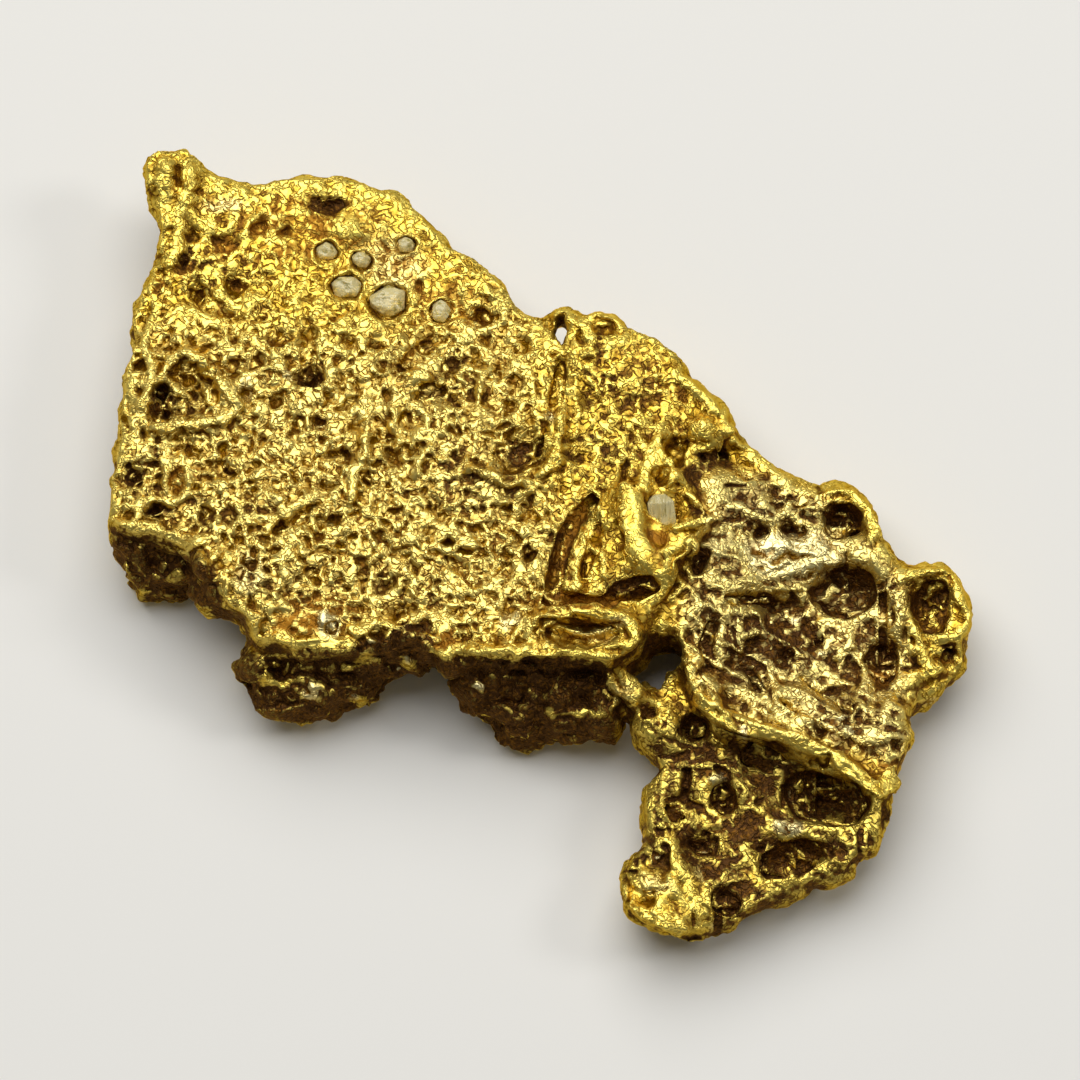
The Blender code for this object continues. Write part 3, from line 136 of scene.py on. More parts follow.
# Pits and hollows: (u, v, half width, half depth, how deep)
PITS = [
    # the horn and the upper sheet
    (-14.75, 14.75, 0.22, 0.4, 0.45), (-13.9, 12.35, 0.3, 0.28, 0.3), (-12.8, 11.9, 0.58, 0.5, 0.3),
    (-14.4, 11.2, 0.3, 0.38, 0.4), (-15.3, 10.5, 0.25, 0.45, 15, 0.3), (-12.25, 10.35, 0.5, 0.5, 0.35),
    (-13.8, 10.0, 0.5, 0.4, 0.3), (-13.3, 9.6, 0.25, 0.18, 0.2), (-11.3, 12.6, 0.45, 0.45, 0.28),
    (-10.25, 12.5, 0.35, 0.3, 0.25), (-13.6, 14.0, 0.25, 0.1, 0.12), (-15.2, 9.2, 0.28, 0.26, 0.25),
    (-15.9, 8.6, 0.18, 0.2, 0.2), (-11.3, 9.05, 0.36, 0.34, 0.25), (-8.6, 13.55, 0.9, 0.42, 8, 0.4),
    (-4.8, 10.0, 0.3, 0.2, 0.25), (-2.5, 9.0, 0.6, 0.28, 0.4), (-9.1, 10.0, 0.28, 0.14, 0.2),
    # the left of the sheet
    (-15.2, 5.9, 0.38, 0.5, 0.55), (-15.2, 5.1, 0.46, 0.32, 0.45), (-14.7, 5.1, 0.2, 0.15, 0.2),
    (-14.3, 7.3, 0.25, 0.15, 0.2), (-9.2, 1.2, 0.5, 0.2, 20, 0.32), (-9.8, 0.8, 0.3, 0.2, 20, 0.28),
    (-10.5, 0.35, 0.45, 0.2, 15, 0.32), (-11.3, 0.45, 0.4, 0.2, 0.28), (-13.35, 1.1, 0.32, 0.4, 0.45),
    (-12.6, 0.6, 0.2, 0.12, 0.15), (-16.5, 3.1, 0.15, 0.3, 0.18), (-16.3, 2.4, 0.65, 0.45, 0.3),
    (-15.3, 1.25, 0.6, 0.28, 0.35), (-12.4, 2.6, 0.2, 0.4, 0.25), (-13.0, 2.5, 0.3, 0.12, 0.15),
    (-12.1, 2.8, 0.16, 0.16, 0.18), (-12.2, 4.5, 0.65, 0.28, -10, 0.32), (-9.2, 6.45, 0.6, 0.42, 0.55),
    (-9.9, 4.5, 0.36, 0.16, 0.25), (-8.8, 4.7, 0.34, 0.32, 0.3), (-14.5, 2.5, 0.45, 0.4, 0.18),
    (-14.2, 3.5, 0.35, 0.3, 0.18), (-10.5, 5.6, 0.3, 0.3, 0.15), (-14.0, 5.5, 1.2, 0.5, 0.4),
    (-13.6, 6.2, 0.8, 0.7, -50, 0.4), (-14.4, 6.6, 0.55, 0.6, 0.4),
    # the right of the sheet
    (-5.4, 6.9, 0.34, 0.36, 0.3), (-4.5, 7.9, 0.6, 0.24, 0.35), (-3.3, 7.1, 0.36, 0.26, 0.3),
    (-3.9, 5.9, 0.36, 0.16, 0.22), (-5.1, 4.8, 0.4, 0.3, 0.32), (-3.4, 4.4, 0.3, 0.36, 0.32),
    (-2.1, 4.4, 0.3, 0.22, 0.26), (-1.1, 3.4, 0.2, 0.3, 0.22), (-2.4, 3.1, 0.15, 0.15, 0.15),
    (-4.5, 3.1, 0.36, 0.17, 35, 0.26), (-5.8, 3.3, 0.36, 0.26, 0.32), (-5.25, 2.25, 0.2, 0.12, 0.15),
    (-8.7, 2.9, 0.36, 0.26, 0.3), (-7.7, 3.5, 0.3, 0.28, 0.26), (-8.35, 2.1, 0.3, 0.26, 0.28),
    (-8.6, 1.7, 0.2, 0.15, 0.18), (-8.5, 0.8, 0.5, 0.25, 0.32), (-7.1, 2.2, 0.1, 0.2, 0.12),
    (-6.5, 0.2, 0.3, 0.25, 0.26), (-5.4, 0.5, 0.3, 0.2, 0.24), (-3.4, 0.0, 0.3, 0.2, 0.24),
    (-1.5, 2.1, 0.3, 0.2, 0.24), (-2.7, 1.15, 0.2, 0.1, 0.12), (-2.7, 2.5, 0.25, 0.2, 0.2),
    (-4.2, 0.6, 0.2, 0.3, 0.24),
    # the lower edge of the sheet
    (-10.9, -1.0, 0.25, 0.4, 0.28), (-12.7, -0.2, 0.4, 0.5, 0.28), (-9.5, -3.8, 0.42, 0.2, -20, 0.32),
    (-7.3, -2.8, 0.45, 0.35, 0.34), (-7.6, -1.8, 0.4, 0.12, 0.18), (-9.1, -1.1, 0.25, 0.25, 0.22),
    (-8.0, -0.75, 0.3, 0.12, 0.15), (-7.6, -0.1, 0.45, 0.4, 0.24), (-3.5, -0.1, 0.26, 0.16, 0.2),
    (-3.6, -1.0, 0.38, 0.36, 0.2), (-5.1, -2.65, 0.34, 0.18, 0.28), (-5.0, -1.2, 0.25, 0.3, 0.24),
    (-1.4, -2.9, 0.3, 0.1, 0.15), (-0.45, -0.4, 0.17, 0.45, 0.32), (-7.7, -2.4, 0.2, 0.14, 0.2),
    (-6.3, -2.0, 0.26, 0.14, 0.18), (-7.3, -3.3, 0.34, 0.18, 0.24),
    # the middle sheet
    (0.3, 1.1, 0.25, 0.2, 0.18), (2.5, 8.5, 0.6, 0.35, 0.22), (2.0, 7.1, 0.5, 0.12, 0.18),
    (6.5, 5.15, 0.35, 0.15, 0.24), (5.4, 3.7, 0.5, 0.35, 0.28), (6.8, 3.4, 0.85, 0.22, -5, 0.38),
    (3.4, 2.65, 0.22, 0.45, 20, 0.34), (2.5, 2.0, 0.3, 0.08, 0.12), (5.2, 2.05, 0.6, 0.15, 0.18),
    (1.3, 2.6, 0.22, 0.28, 0.22), (1.3, 4.1, 0.28, 0.14, 0.18), (3.6, 3.9, 0.18, 0.28, 0.2),
    (5.2, 4.15, 0.45, 0.1, 0.15), (5.3, 6.2, 0.3, 0.14, 0.18),
    # the dark lumps under the edge
    (-10.5, -4.9, 0.45, 0.45, 0.6), (-8.0, -5.55, 0.2, 0.42, 0.3), (-6.9, -5.65, 0.3, 0.15, 30, 0.25),
    (-6.5, -5.35, 0.25, 0.18, 0.2), (-10.2, -6.25, 0.6, 0.3, 0.2), (0.1, -5.9, 0.6, 0.2, 0.35),
    (-1.6, -7.5, 0.2, 0.2, 0.22),
    # round the cup and over the right sheet
    (6.2, 1.15, 0.42, 0.2, 0.28), (5.9, 1.5, 0.3, 0.2, 0.12), (6.35, -0.7, 0.22, 0.45, 0.35),
    (8.9, 0.4, 0.42, 0.24, 0.28), (6.3, -3.2, 0.22, 0.42, 0.32), (8.0, -3.8, 0.55, 0.75, 0.24),
    (6.9, -5.5, 0.5, 0.25, 0.2), (7.0, 3.4, 0.55, 0.32, 0.28), (6.3, 2.6, 0.32, 0.32, 0.28),
    (9.8, 1.6, 0.42, 0.33, 0.32), (10.0, 0.4, 0.45, 0.42, 0.28), (7.7, -2.0, 0.3, 0.08, 0.15),
    (8.6, -2.4, 0.75, 0.28, 0.3), (11.15, -4.05, 0.2, 0.22, 0.4), (9.9, -4.65, 0.28, 0.28, 0.45),
    (12.4, 1.4, 0.28, 0.14, 0.18), (12.6, 0.6, 0.15, 0.15, 0.18), (12.1, -1.6, 0.28, 0.28, 0.32),
    (15.9, -2.7, 0.48, 0.4, 0.24), (15.4, -3.1, 0.2, 0.2, 0.18), (16.4, -4.3, 0.45, 0.22, 0.24),
    (14.8, -5.1, 0.48, 0.25, 0.3), (14.7, -4.2, 0.25, 0.2, 0.18), (10.95, -5.55, 0.5, 0.22, 0.28),
    (9.4, -6.6, 0.42, 0.14, -25, 0.24), (11.9, -6.85, 0.45, 0.22, -20, 0.22), (13.4, -6.6, 0.2, 0.35, 0.28),
    (13.4, -8.4, 0.3, 0.12, 0.18), (14.05, -8.8, 0.28, 0.2, 45, 0.18), (11.4, -8.9, 0.42, 0.14, -25, 0.32),
    # the tail
    (4.35, -6.8, 0.32, 0.32, 0.28), (6.0, -7.4, 0.65, 0.5, 0.34), (7.2, -6.8, 0.2, 0.15, 0.15),
    (7.4, -10.2, 0.42, 0.65, 0.34), (11.4, -10.3, 1.15, 0.8, -15, 0.3), (8.5, -11.35, 0.3, 0.65, 0.4),
    (10.2, -12.7, 1.3, 0.55, 12, 0.26), (10.0, -12.1, 0.25, 0.15, 0.24), (11.6, -12.4, 0.35, 0.28, 0.22),
    (6.6, -12.2, 0.55, 0.45, 0.34), (5.7, -10.6, 0.38, 0.42, 0.28), (7.5, -14.3, 0.5, 0.6, 15, 0.34),
    (6.6, -11.5, 0.3, 0.15, -20, 0.24), (4.6, -11.7, 0.35, 0.55, 0.14),
    # rubble that fills the large bowls, so they are less deep
    (12.0, -2.3, 0.9, 0.6, -0.55), (12.1, 0.8, 0.5, 0.5, -0.35), (15.9, -2.9, 0.55, 0.8, -0.45),
    (11.0, -10.1, 1.0, 0.6, -15, -0.45), (10.0, -12.7, 0.9, 0.35, 12, -0.35), (7.4, -10.2, 0.3, 0.4, -0.3),
    (13.6, -5.2, 0.35, 0.6, -0.3), (3.9, -2.0, 1.0, 0.3, -0.35),
]

# Knobs, beads and swellings: (u, v, half width, half depth, how high)
BUMPS = [
    (-14.35, 14.5, 0.18, 0.18, 0.22), (-12.1, 10.3, 0.2, 0.2, 0.28), (-6.3, 12.6, 0.3, 0.2, 0.14),
    (-8.9, 9.6, 0.16, 0.14, 0.12), (-8.3, 8.5, 0.16, 0.16, 0.12), (-2.2, 9.9, 0.16, 0.16, 0.12),
    (-10.15, 6.6, 0.28, 0.28, 0.16), (-5.4, 6.8, 0.14, 0.14, 0.18), (-4.85, 6.6, 0.55, 0.6, 0.12),
    (-7.5, 5.6, 0.32, 0.45, 0.12), (-14.6, -1.3, 0.35, 0.35, 0.22), (-8.45, -3.45, 0.45, 0.5, 0.4),
    (-1.2, -3.2, 0.35, 0.3, 0.14), (0.3, 4.9, 0.14, 0.14, 0.15), (1.5, 1.7, 0.13, 0.13, 0.14),
    (1.15, 0.5, 0.13, 0.13, 0.14), (1.1, 1.1, 0.13, 0.13, 0.14), (1.4, -2.7, 0.33, 0.2, 0.18),
    (1.9, 7.6, 0.38, 0.36, 0.16), (6.5, 4.4, 0.5, 0.48, 0.16), (4.4, 7.3, 0.18, 0.18, 0.12),
    (1.45, -4.1, 0.18, 0.28, 0.14), (0.1, -4.2, 0.18, 0.18, 0.14), (0.7, -4.1, 0.65, 0.28, 0.1),
    (1.9, -3.75, 0.9, 0.22, 0.3), (6.3, -1.5, 0.15, 0.15, 0.14), (7.2, -0.3, 0.65, 0.55, 0.16),
    (7.0, 0.9, 0.18, 0.18, 0.14), (6.4, -2.7, 0.42, 0.32, 0.18), (5.6, -3.5, 0.38, 0.33, 0.2),
    (4.9, -3.4, 0.26, 0.45, 0.16), (4.4, -2.8, 0.2, 0.2, 0.16), (8.4, 2.4, 0.15, 0.15, 0.14),
    (7.4, 1.6, 0.15, 0.15, 0.14), (7.8, 1.9, 0.15, 0.15, 0.14), (7.6, 1.3, 0.15, 0.15, 0.14),
    (8.6, 1.2, 0.15, 0.15, 0.14), (8.9, 1.6, 0.32, 0.28, 0.16), (9.4, 1.3, 0.16, 0.16, 0.14),
    (10.5, 1.4, 0.28, 0.28, 0.16), (11.2, 1.4, 0.15, 0.2, 0.14), (9.3, 0.9, 0.28, 0.22, 0.16),
    (10.2, -2.0, 0.28, 0.26, 0.2), (12.0, 1.6, 0.14, 0.14, 0.12), (12.2, -0.5, 0.14, 0.12, 0.14),
    (12.55, -0.5, 0.14, 0.12, 0.14), (13.4, -0.9, 0.33, 0.65, 0.16), (14.4, -1.5, 0.32, 0.42, 0.16),
    (11.6, -1.6, 0.24, 0.24, 0.2), (11.3, -2.2, 0.55, 0.45, 0.12), (11.4, -3.1, 0.13, 0.13, 0.14),
    (11.68, -3.1, 0.13, 0.13, 0.14), (11.95, -3.1, 0.13, 0.13, 0.14), (15.9, -3.5, 0.28, 0.26, 0.2),
    (15.3, -1.8, 0.35, 0.26, 0.14), (14.2, -2.8, 0.18, 0.18, 0.15), (14.6, -3.1, 0.26, 0.14, 0.14),
    (14.4, -3.5, 0.18, 0.13, 0.14), (14.95, -3.4, 0.13, 0.13, 0.14), (16.2, -5.1, 0.5, 0.32, 0.14),
    (11.9, -4.8, 0.2, 0.3, 0.18), (12.5, -4.9, 0.18, 0.16, 0.12), (11.3, -4.4, 0.16, 0.13, 0.15),
    (5.1, -6.6, 0.18, 0.18, 0.14), (8.0, -7.4, 0.13, 0.13, 0.14), (8.1, -7.8, 0.13, 0.13, 0.14),
    (12.0, -7.1, 0.26, 0.18, 0.18), (12.3, -7.6, 0.26, 0.18, -30, 0.18), (7.2, -9.4, 0.2, 0.17, 0.18),
    (6.8, -9.5, 0.17, 0.13, 0.14), (9.5, -11.4, 0.33, 0.27, 0.18), (10.1, -11.4, 0.2, 0.24, 0.18),
    (9.9, -10.2, 0.14, 0.14, 0.15), (6.6, -12.4, 0.2, 0.16, 0.18), (7.4, -11.7, 0.14, 0.25, 0.18),
    (7.2, -11.1, 0.18, 0.14, 0.14), (7.7, -11.3, 0.15, 0.15, 0.14), (4.7, -13.7, 0.42, 0.28, 0.1),
    (4.6, -12.7, 0.17, 0.14, 0.14), (-7.8, -5.05, 0.24, 0.2, 0.2), (-7.0, -5.95, 0.2, 0.16, 0.18),
    (-7.45, -6.3, 0.13, 0.13, 0.15), (-7.95, -6.45, 0.13, 0.13, 0.14), (-6.7, -4.15, 0.14, 0.13, 0.15),
    (-6.3, -4.55, 0.14, 0.14, 0.15), (-5.75, -4.5, 0.12, 0.12, 0.13), (-5.2, -4.7, 0.15, 0.12, 20, 0.14),
    (-5.65, -5.1, 0.13, 0.16, 0.14), (-6.0, -5.05, 0.12, 0.12, 0.12), (-9.2, -6.25, 0.2, 0.12, 20, 0.15),
    (-9.1, -5.9, 0.3, 0.25, 0.18), (-7.15, -6.55, 0.36, 0.26, 0.14), (13.5, -10.2, 0.3, 0.42, 0.14),
    (12.6, -8.4, 0.26, 0.2, 0.14), (13.6, -7.9, 0.2, 0.2, 0.16), (13.2, -7.2, 0.26, 0.15, -30, 0.14),
    (7.1, -15.35, 0.3, 0.13, 20, 0.12), (-2.4, -5.75, 0.3, 0.16, 30, 0.18),
]

# Ridges, rims and strands: (half width, how high, [(u, v) places they run through])
RIDGES = [
    # the horn and the upper sheet
    (0.24, 0.16, [(-15.2, 15.0), (-15.25, 14.3), (-15.1, 13.6), (-15.2, 12.8)]),
    (0.22, 0.14, [(-14.0, 14.9), (-14.2, 14.1), (-14.6, 13.0), (-14.5, 12.0), (-14.9, 11.2)]),
    (0.15, 0.12, [(-11.9, 12.4), (-11.3, 13.1)]), (0.16, 0.12, [(-14.0, 9.3), (-13.0, 8.7)]),
    (0.16, 0.12, [(-13.0, 10.0), (-12.3, 9.3)]),
    # the left of the sheet
    (0.18, 0.14, [(-16.5, 8.0), (-16.4, 6.5), (-16.5, 5.2), (-16.3, 4.2)]),
    (0.17, 0.14, [(-15.95, 7.9), (-15.65, 7.2), (-15.55, 6.6), (-16.1, 5.3), (-15.9, 4.7), (-15.3, 4.4),
     (-15.0, 4.1), (-15.1, 3.2), (-15.0, 2.2)]),
    (0.16, 0.2, [(-14.2, 7.6), (-14.8, 7.1), (-15.3, 6.4), (-16.1, 5.4)]),
    (0.2, 0.22, [(-14.1, 7.6), (-13.6, 7.2), (-13.0, 6.6), (-12.4, 5.9), (-12.2, 5.4), (-12.4, 4.9),
     (-13.2, 4.7), (-14.3, 4.6), (-15.4, 4.5)]),
    (0.12, 0.12, [(-13.7, 6.6), (-13.3, 6.0), (-13.2, 5.6)]), (0.13, 0.14, [(-14.8, 6.15), (-14.1, 5.8)]),
    (0.14, 0.13, [(-14.9, 3.3), (-15.0, 2.4), (-14.9, 1.9)]),
    (0.15, 0.14, [(-14.1, 2.9), (-13.95, 2.3), (-14.1, 1.9), (-14.6, 1.5), (-15.4, 1.6), (-15.9, 1.3),
     (-16.1, 0.8)]),
    (0.17, 0.16, [(-9.0, 1.9), (-10.0, 1.1), (-10.6, 0.75), (-11.6, 0.8)]),
    # the right of the sheet
    (0.17, 0.16, [(-7.05, 5.9), (-7.0, 4.5), (-6.85, 3.6), (-7.2, 2.7), (-7.5, 1.9), (-7.6, 1.2)]),
    (0.14, 0.14, [(-5.9, 5.3), (-5.8, 4.4), (-5.6, 3.8)]),
    (0.13, 0.12, [(-4.9, 5.3), (-4.5, 4.8), (-4.9, 4.0)]),
    (0.14, 0.12, [(-4.9, 2.6), (-4.7, 3.4), (-4.2, 3.6)]),
    (0.14, 0.14, [(-2.3, 6.9), (-2.35, 6.3), (-2.6, 5.8), (-2.4, 5.3)]),
    (0.13, 0.12, [(-3.0, 7.0), (-2.0, 6.9)]),
    (0.15, 0.14, [(-3.0, 3.2), (-2.9, 2.9), (-2.3, 2.8), (-1.9, 2.5), (-1.2, 2.3), (-0.3, 2.4)]),
    (0.14, 0.14, [(-0.9, 0.9), (-0.75, 1.8), (0.0, 2.25)]), (0.12, 0.12, [(-1.8, 1.5), (-1.2, 1.5)]),
    (0.16, 0.16, [(0.7, 4.8), (0.75, 3.8), (0.6, 3.1), (0.0, 2.7)]),
    (0.14, 0.14, [(0.75, 6.3), (0.8, 5.2), (0.75, 4.6)]),
    # the lower edge of the sheet
    (0.2, 0.16, [(-16.8, 0.7), (-14.9, 0.3), (-14.0, -0.2), (-13.5, 0.0)]),
    (0.17, 0.14, [(-11.9, -2.6), (-11.5, -3.0), (-11.4, -3.6)]),
    (0.17, 0.16, [(-11.2, -4.0), (-10.4, -3.9), (-9.6, -4.2), (-8.8, -4.1), (-7.7, -4.1)]),
    (0.18, 0.18, [(-7.4, -3.6), (-6.5, -3.5), (-5.6, -3.4), (-5.0, -3.0), (-4.3, -2.9), (-4.0, -3.2),
     (-4.1, -4.0)]),
    (0.15, 0.16, [(-4.2, -4.8), (-3.5, -4.5), (-2.8, -4.4), (-1.2, -4.4), (0.0, -4.6), (1.4, -4.5),
     (2.8, -4.7)]),
    (0.15, 0.14, [(-0.2, -3.0), (-0.8, -3.6), (-1.3, -4.3)]), (0.13, 0.12, [(-0.3, -3.3), (-0.6, -4.3)]),
    (0.17, 0.16, [(1.8, -2.8), (2.6, -2.9), (3.4, -3.2), (3.8, -3.6), (3.8, -3.95), (3.5, -4.15)]),
    (0.13, 0.12, [(0.2, -3.5), (1.8, -3.65)]), (0.13, 0.12, [(2.2, -3.7), (3.2, -3.7)]),
    (0.12, 0.1, [(1.9, -4.0), (3.3, -4.05)]), (0.14, 0.16, [(0.1, -2.35), (0.8, -2.6)]),
    (0.14, 0.15, [(-0.1, -3.05), (1.0, -3.1)]),
    # the middle sheet and the cup
    (0.16, 0.16, [(0.7, 9.1), (1.2, 8.9), (2.1, 8.1)]), (0.15, 0.14, [(2.2, 9.1), (2.8, 9.1), (3.3, 8.7)]),
    (0.22, 0.16, [(5.5, 6.6), (6.2, 6.0), (7.0, 5.4), (7.3, 5.1)]),
    (0.25, 0.16, [(4.9, 4.3), (4.7, 3.6), (4.8, 3.0), (5.3, 2.4)]),
    (0.17, 0.14, [(4.1, 4.0), (4.4, 3.4), (4.3, 2.8), (4.2, 2.2)]),
    (0.17, 0.14, [(2.2, 1.1), (2.0, 0.3), (1.95, -0.2), (1.6, -0.5), (1.4, -1.0), (1.5, -1.7), (1.3, -2.0)]),
    (0.14, 0.12, [(2.1, -0.3), (2.5, -0.7), (2.6, -1.4)]),
    (0.22, 0.05, [(3.6, 2.0), (3.9, 1.0), (3.9, 0.3), (4.3, -0.2)]),
    (0.2, 0.06, [(5.8, 0.1), (5.2, -0.4), (5.0, -1.2), (4.8, -1.7)]),
    (0.14, 0.12, [(5.8, 1.75), (6.6, 1.45), (6.8, 1.0)]),
    (0.13, 0.14, [(5.4, 0.55), (6.0, 0.6), (6.8, 0.85)]),
    (0.12, 0.16, [(6.3, 0.4), (5.9, -0.2), (5.5, -0.8), (5.3, -1.5)]),
    (0.12, 0.16, [(6.6, 0.6), (6.2, -0.2), (6.0, -1.0), (6.1, -1.6)]),
    (0.12, 0.14, [(5.4, -1.3), (5.6, -2.0), (5.3, -2.3)]), (0.13, 0.14, [(6.9, 0.5), (7.6, 0.45)]),
    (0.14, 0.14, [(7.0, -2.4), (7.4, -3.0)]), (0.15, 0.16, [(7.5, -3.2), (7.1, -3.9), (7.3, -4.8)]),
    (0.16, 0.14, [(5.6, -3.9), (6.0, -4.5), (6.0, -5.0), (6.3, -5.7)]),
    (0.13, 0.12, [(7.9, 0.5), (8.3, -0.3), (8.6, -1.1)]),
    (0.12, 0.1, [(7.6, 0.3), (8.0, -0.4), (8.2, -1.1)]),
    # the right sheet: its silvery rows, the ear, the pocket and the lobe
    (0.15, 0.14, [(7.8, 4.1), (8.6, 3.3), (9.4, 2.6), (10.2, 2.0), (11.0, 1.7)]),
    (0.12, 0.14, [(9.6, 1.05), (10.2, 0.95), (10.7, 0.5), (11.1, 0.0), (11.5, -0.6)]),
    (0.2, 0.16, [(9.2, -0.1), (9.8, -0.2), (10.5, -0.3), (11.2, -0.4)]),
    (0.18, 0.16, [(8.4, -1.3), (9.6, -1.2), (10.4, -1.0), (11.6, -0.7)]),
    (0.17, 0.18, [(11.9, -0.8), (11.3, -1.2), (10.8, -1.7), (10.5, -2.0), (10.4, -2.3)]),
    (0.16, 0.18, [(7.0, -1.8), (7.6, -1.75), (8.1, -1.8)]),
    (0.16, 0.18, [(8.25, -1.7), (9.0, -1.8), (9.5, -1.9), (9.8, -2.3)]),
    (0.13, 0.14, [(9.9, -3.1), (10.4, -3.5)]), (0.13, 0.12, [(8.5, -3.6), (8.9, -4.1)]),
    (0.16, 0.12, [(11.5, 2.0), (12.0, 2.1), (12.5, 1.9), (13.0, 1.4), (13.3, 0.8), (13.4, 0.2)]),
    (0.14, 0.12, [(13.0, -0.4), (13.4, -1.0), (13.7, -1.5)]), (0.12, 0.12, [(12.4, -2.3), (12.8, -2.1)]),
    (0.18, 0.14, [(14.9, -1.4), (15.5, -1.1), (16.0, -1.05), (16.6, -1.3), (16.9, -1.9), (17.1, -2.8),
     (17.0, -3.7), (16.7, -4.0)]),
    (0.14, 0.14, [(16.5, -1.8), (16.75, -2.6)]), (0.14, 0.14, [(16.0, -1.7), (15.5, -2.3)]),
    (0.14, 0.12, [(16.8, -4.3), (16.7, -4.8)]),
    (0.16, 0.16, [(15.0, -3.6), (15.3, -4.2), (15.1, -4.5), (15.5, -4.9), (15.9, -5.2)]),
    (0.17, 0.16, [(15.9, -5.2), (15.4, -5.4), (14.8, -5.6), (14.3, -5.8), (14.0, -6.2)]),
    (0.12, 0.12, [(14.3, -4.0), (14.3, -5.2), (14.2, -5.8)]),
    (0.16, 0.18, [(12.0, -4.5), (12.5, -4.4), (12.9, -4.9), (13.1, -5.5), (13.1, -6.1)]),
    (0.12, 0.14, [(10.4, -4.5), (10.7, -4.45)]),
    (0.13, 0.16, [(10.3, -5.55), (10.7, -5.25), (11.1, -5.05), (11.5, -5.3)]),
    (0.13, 0.15, [(11.5, -5.4), (11.95, -5.7)]), (0.12, 0.13, [(10.3, -5.75), (10.8, -5.5)]),
    (0.15, 0.16, [(13.2, -6.2), (13.15, -6.7)]), (0.15, 0.16, [(13.5, -6.2), (13.9, -6.5), (13.8, -7.0)]),
    # the fold, its strands and its furrows
    (0.15, 0.14, [(4.0, -6.5), (4.5, -6.4), (4.8, -6.8), (4.7, -7.1), (4.2, -7.2)]),
    (0.16, 0.14, [(5.7, -4.0), (6.0, -4.4)]),
    (0.17, 0.16, [(5.9, -4.9), (6.0, -5.5), (6.2, -6.1), (6.6, -6.6), (7.0, -7.1), (7.6, -7.3)]),
    (0.14, 0.14, [(6.5, -6.2), (7.0, -6.6), (7.5, -7.0)]),
    (0.12, 0.12, [(6.5, -5.5), (7.2, -5.9), (7.6, -6.2)]), (0.12, 0.12, [(5.8, -8.0), (6.6, -8.1)]),
    (0.3, 0.12, [(8.5, -7.3), (9.0, -7.5), (9.5, -7.6), (10.2, -8.1), (10.8, -8.3), (11.5, -8.5),
     (12.0, -8.9), (12.5, -9.3), (12.8, -9.7)]),
    (0.12, 0.1, [(10.2, -8.6), (11.0, -9.1), (11.9, -9.3), (12.4, -9.8)]),
    (0.12, 0.12, [(7.9, -6.0), (8.4, -6.5), (9.2, -7.0), (10.4, -7.4)]),
    (0.12, 0.12, [(8.0, -5.8), (8.6, -6.2), (9.4, -6.7), (10.3, -6.9)]),
    (0.12, 0.12, [(10.0, -6.0), (10.6, -6.4), (11.0, -6.6)]),
    (0.12, 0.12, [(10.2, -6.5), (11.2, -6.9), (11.9, -7.3)]),
    (0.16, 0.16, [(8.7, -4.5), (9.2, -5.2), (9.4, -5.9), (9.8, -6.6)]),
    (0.12, 0.12, [(8.7, -5.4), (8.9, -6.0)]),
    (0.14, 0.14, [(11.2, -6.4), (11.8, -6.5), (12.3, -6.8), (12.5, -7.3)]),
    (0.12, 0.12, [(10.0, -7.1), (10.8, -7.3), (11.0, -7.8)]), (0.1, 0.1, [(9.9, -7.4), (10.6, -7.9)]),
    # the tail
    (0.16, 0.12, [(4.2, -7.4), (5.0, -8.0), (6.0, -8.3), (7.5, -8.4)]),
    (0.14, 0.12, [(8.7, -8.2), (8.6, -8.6), (8.8, -9.0)]),
    (0.14, 0.14, [(6.7, -9.7), (6.6, -10.4), (7.0, -10.9)]),
    (0.16, 0.18, [(7.7, -9.4), (8.1, -9.8), (8.5, -10.1)]),
    (0.12, 0.14, [(8.5, -10.1), (8.1, -10.4), (7.9, -10.9)]),
    (0.12, 0.16, [(8.7, -10.6), (9.0, -11.1), (9.3, -11.5)]),
    (0.12, 0.16, [(9.0, -10.2), (9.4, -10.8), (9.9, -11.2)]),
    (0.15, 0.16, [(10.1, -11.6), (10.6, -11.8), (11.0, -11.6)]),
    (0.15, 0.16, [(11.4, -11.8), (12.0, -12.0)]), (0.13, 0.14, [(11.5, -11.3), (11.7, -11.7)]),
    (0.14, 0.14, [(12.0, -11.8), (12.6, -11.5)]),
    (0.14, 0.14, [(10.7, -9.6), (11.6, -9.6), (12.3, -10.2), (12.6, -10.9)]),
    (0.12, 0.12, [(10.8, -10.8), (11.5, -10.8), (12.0, -11.0)]),
    (0.14, 0.14, [(11.1, -12.5), (11.8, -12.9)]),
    (0.15, 0.16, [(8.6, -13.7), (9.2, -13.8), (10.3, -13.6), (11.0, -13.3)]),
    (0.13, 0.12, [(9.0, -14.1), (10.0, -13.9), (10.9, -13.5)]),
    (0.15, 0.18, [(4.1, -10.6), (4.4, -11.0), (4.9, -11.4), (5.2, -12.0), (5.4, -12.6), (5.8, -13.6),
     (6.1, -14.4), (6.3, -14.9)]),
    (0.17, 0.16, [(8.2, -12.8), (7.6, -13.2), (7.0, -13.8), (6.6, -14.3), (6.4, -14.8)]),
    (0.14, 0.14, [(5.9, -12.9), (6.4, -13.3), (6.5, -14.3)]),
    (0.14, 0.14, [(6.4, -11.1), (7.0, -11.5), (7.4, -11.9), (7.4, -12.5)]),
    (0.12, 0.12, [(4.2, -10.5), (4.9, -10.1), (5.5, -9.9)]),
    (0.12, 0.12, [(4.2, -11.0), (4.3, -11.9), (4.8, -12.5)]),
    (0.17, 0.16, [(4.0, -14.6), (4.8, -15.2), (5.6, -15.6), (6.4, -15.6)]),
    (0.15, 0.14, [(5.2, -13.6), (5.7, -14.3), (6.3, -14.9), (6.5, -15.3)]),
    # the dark lumps under the edge
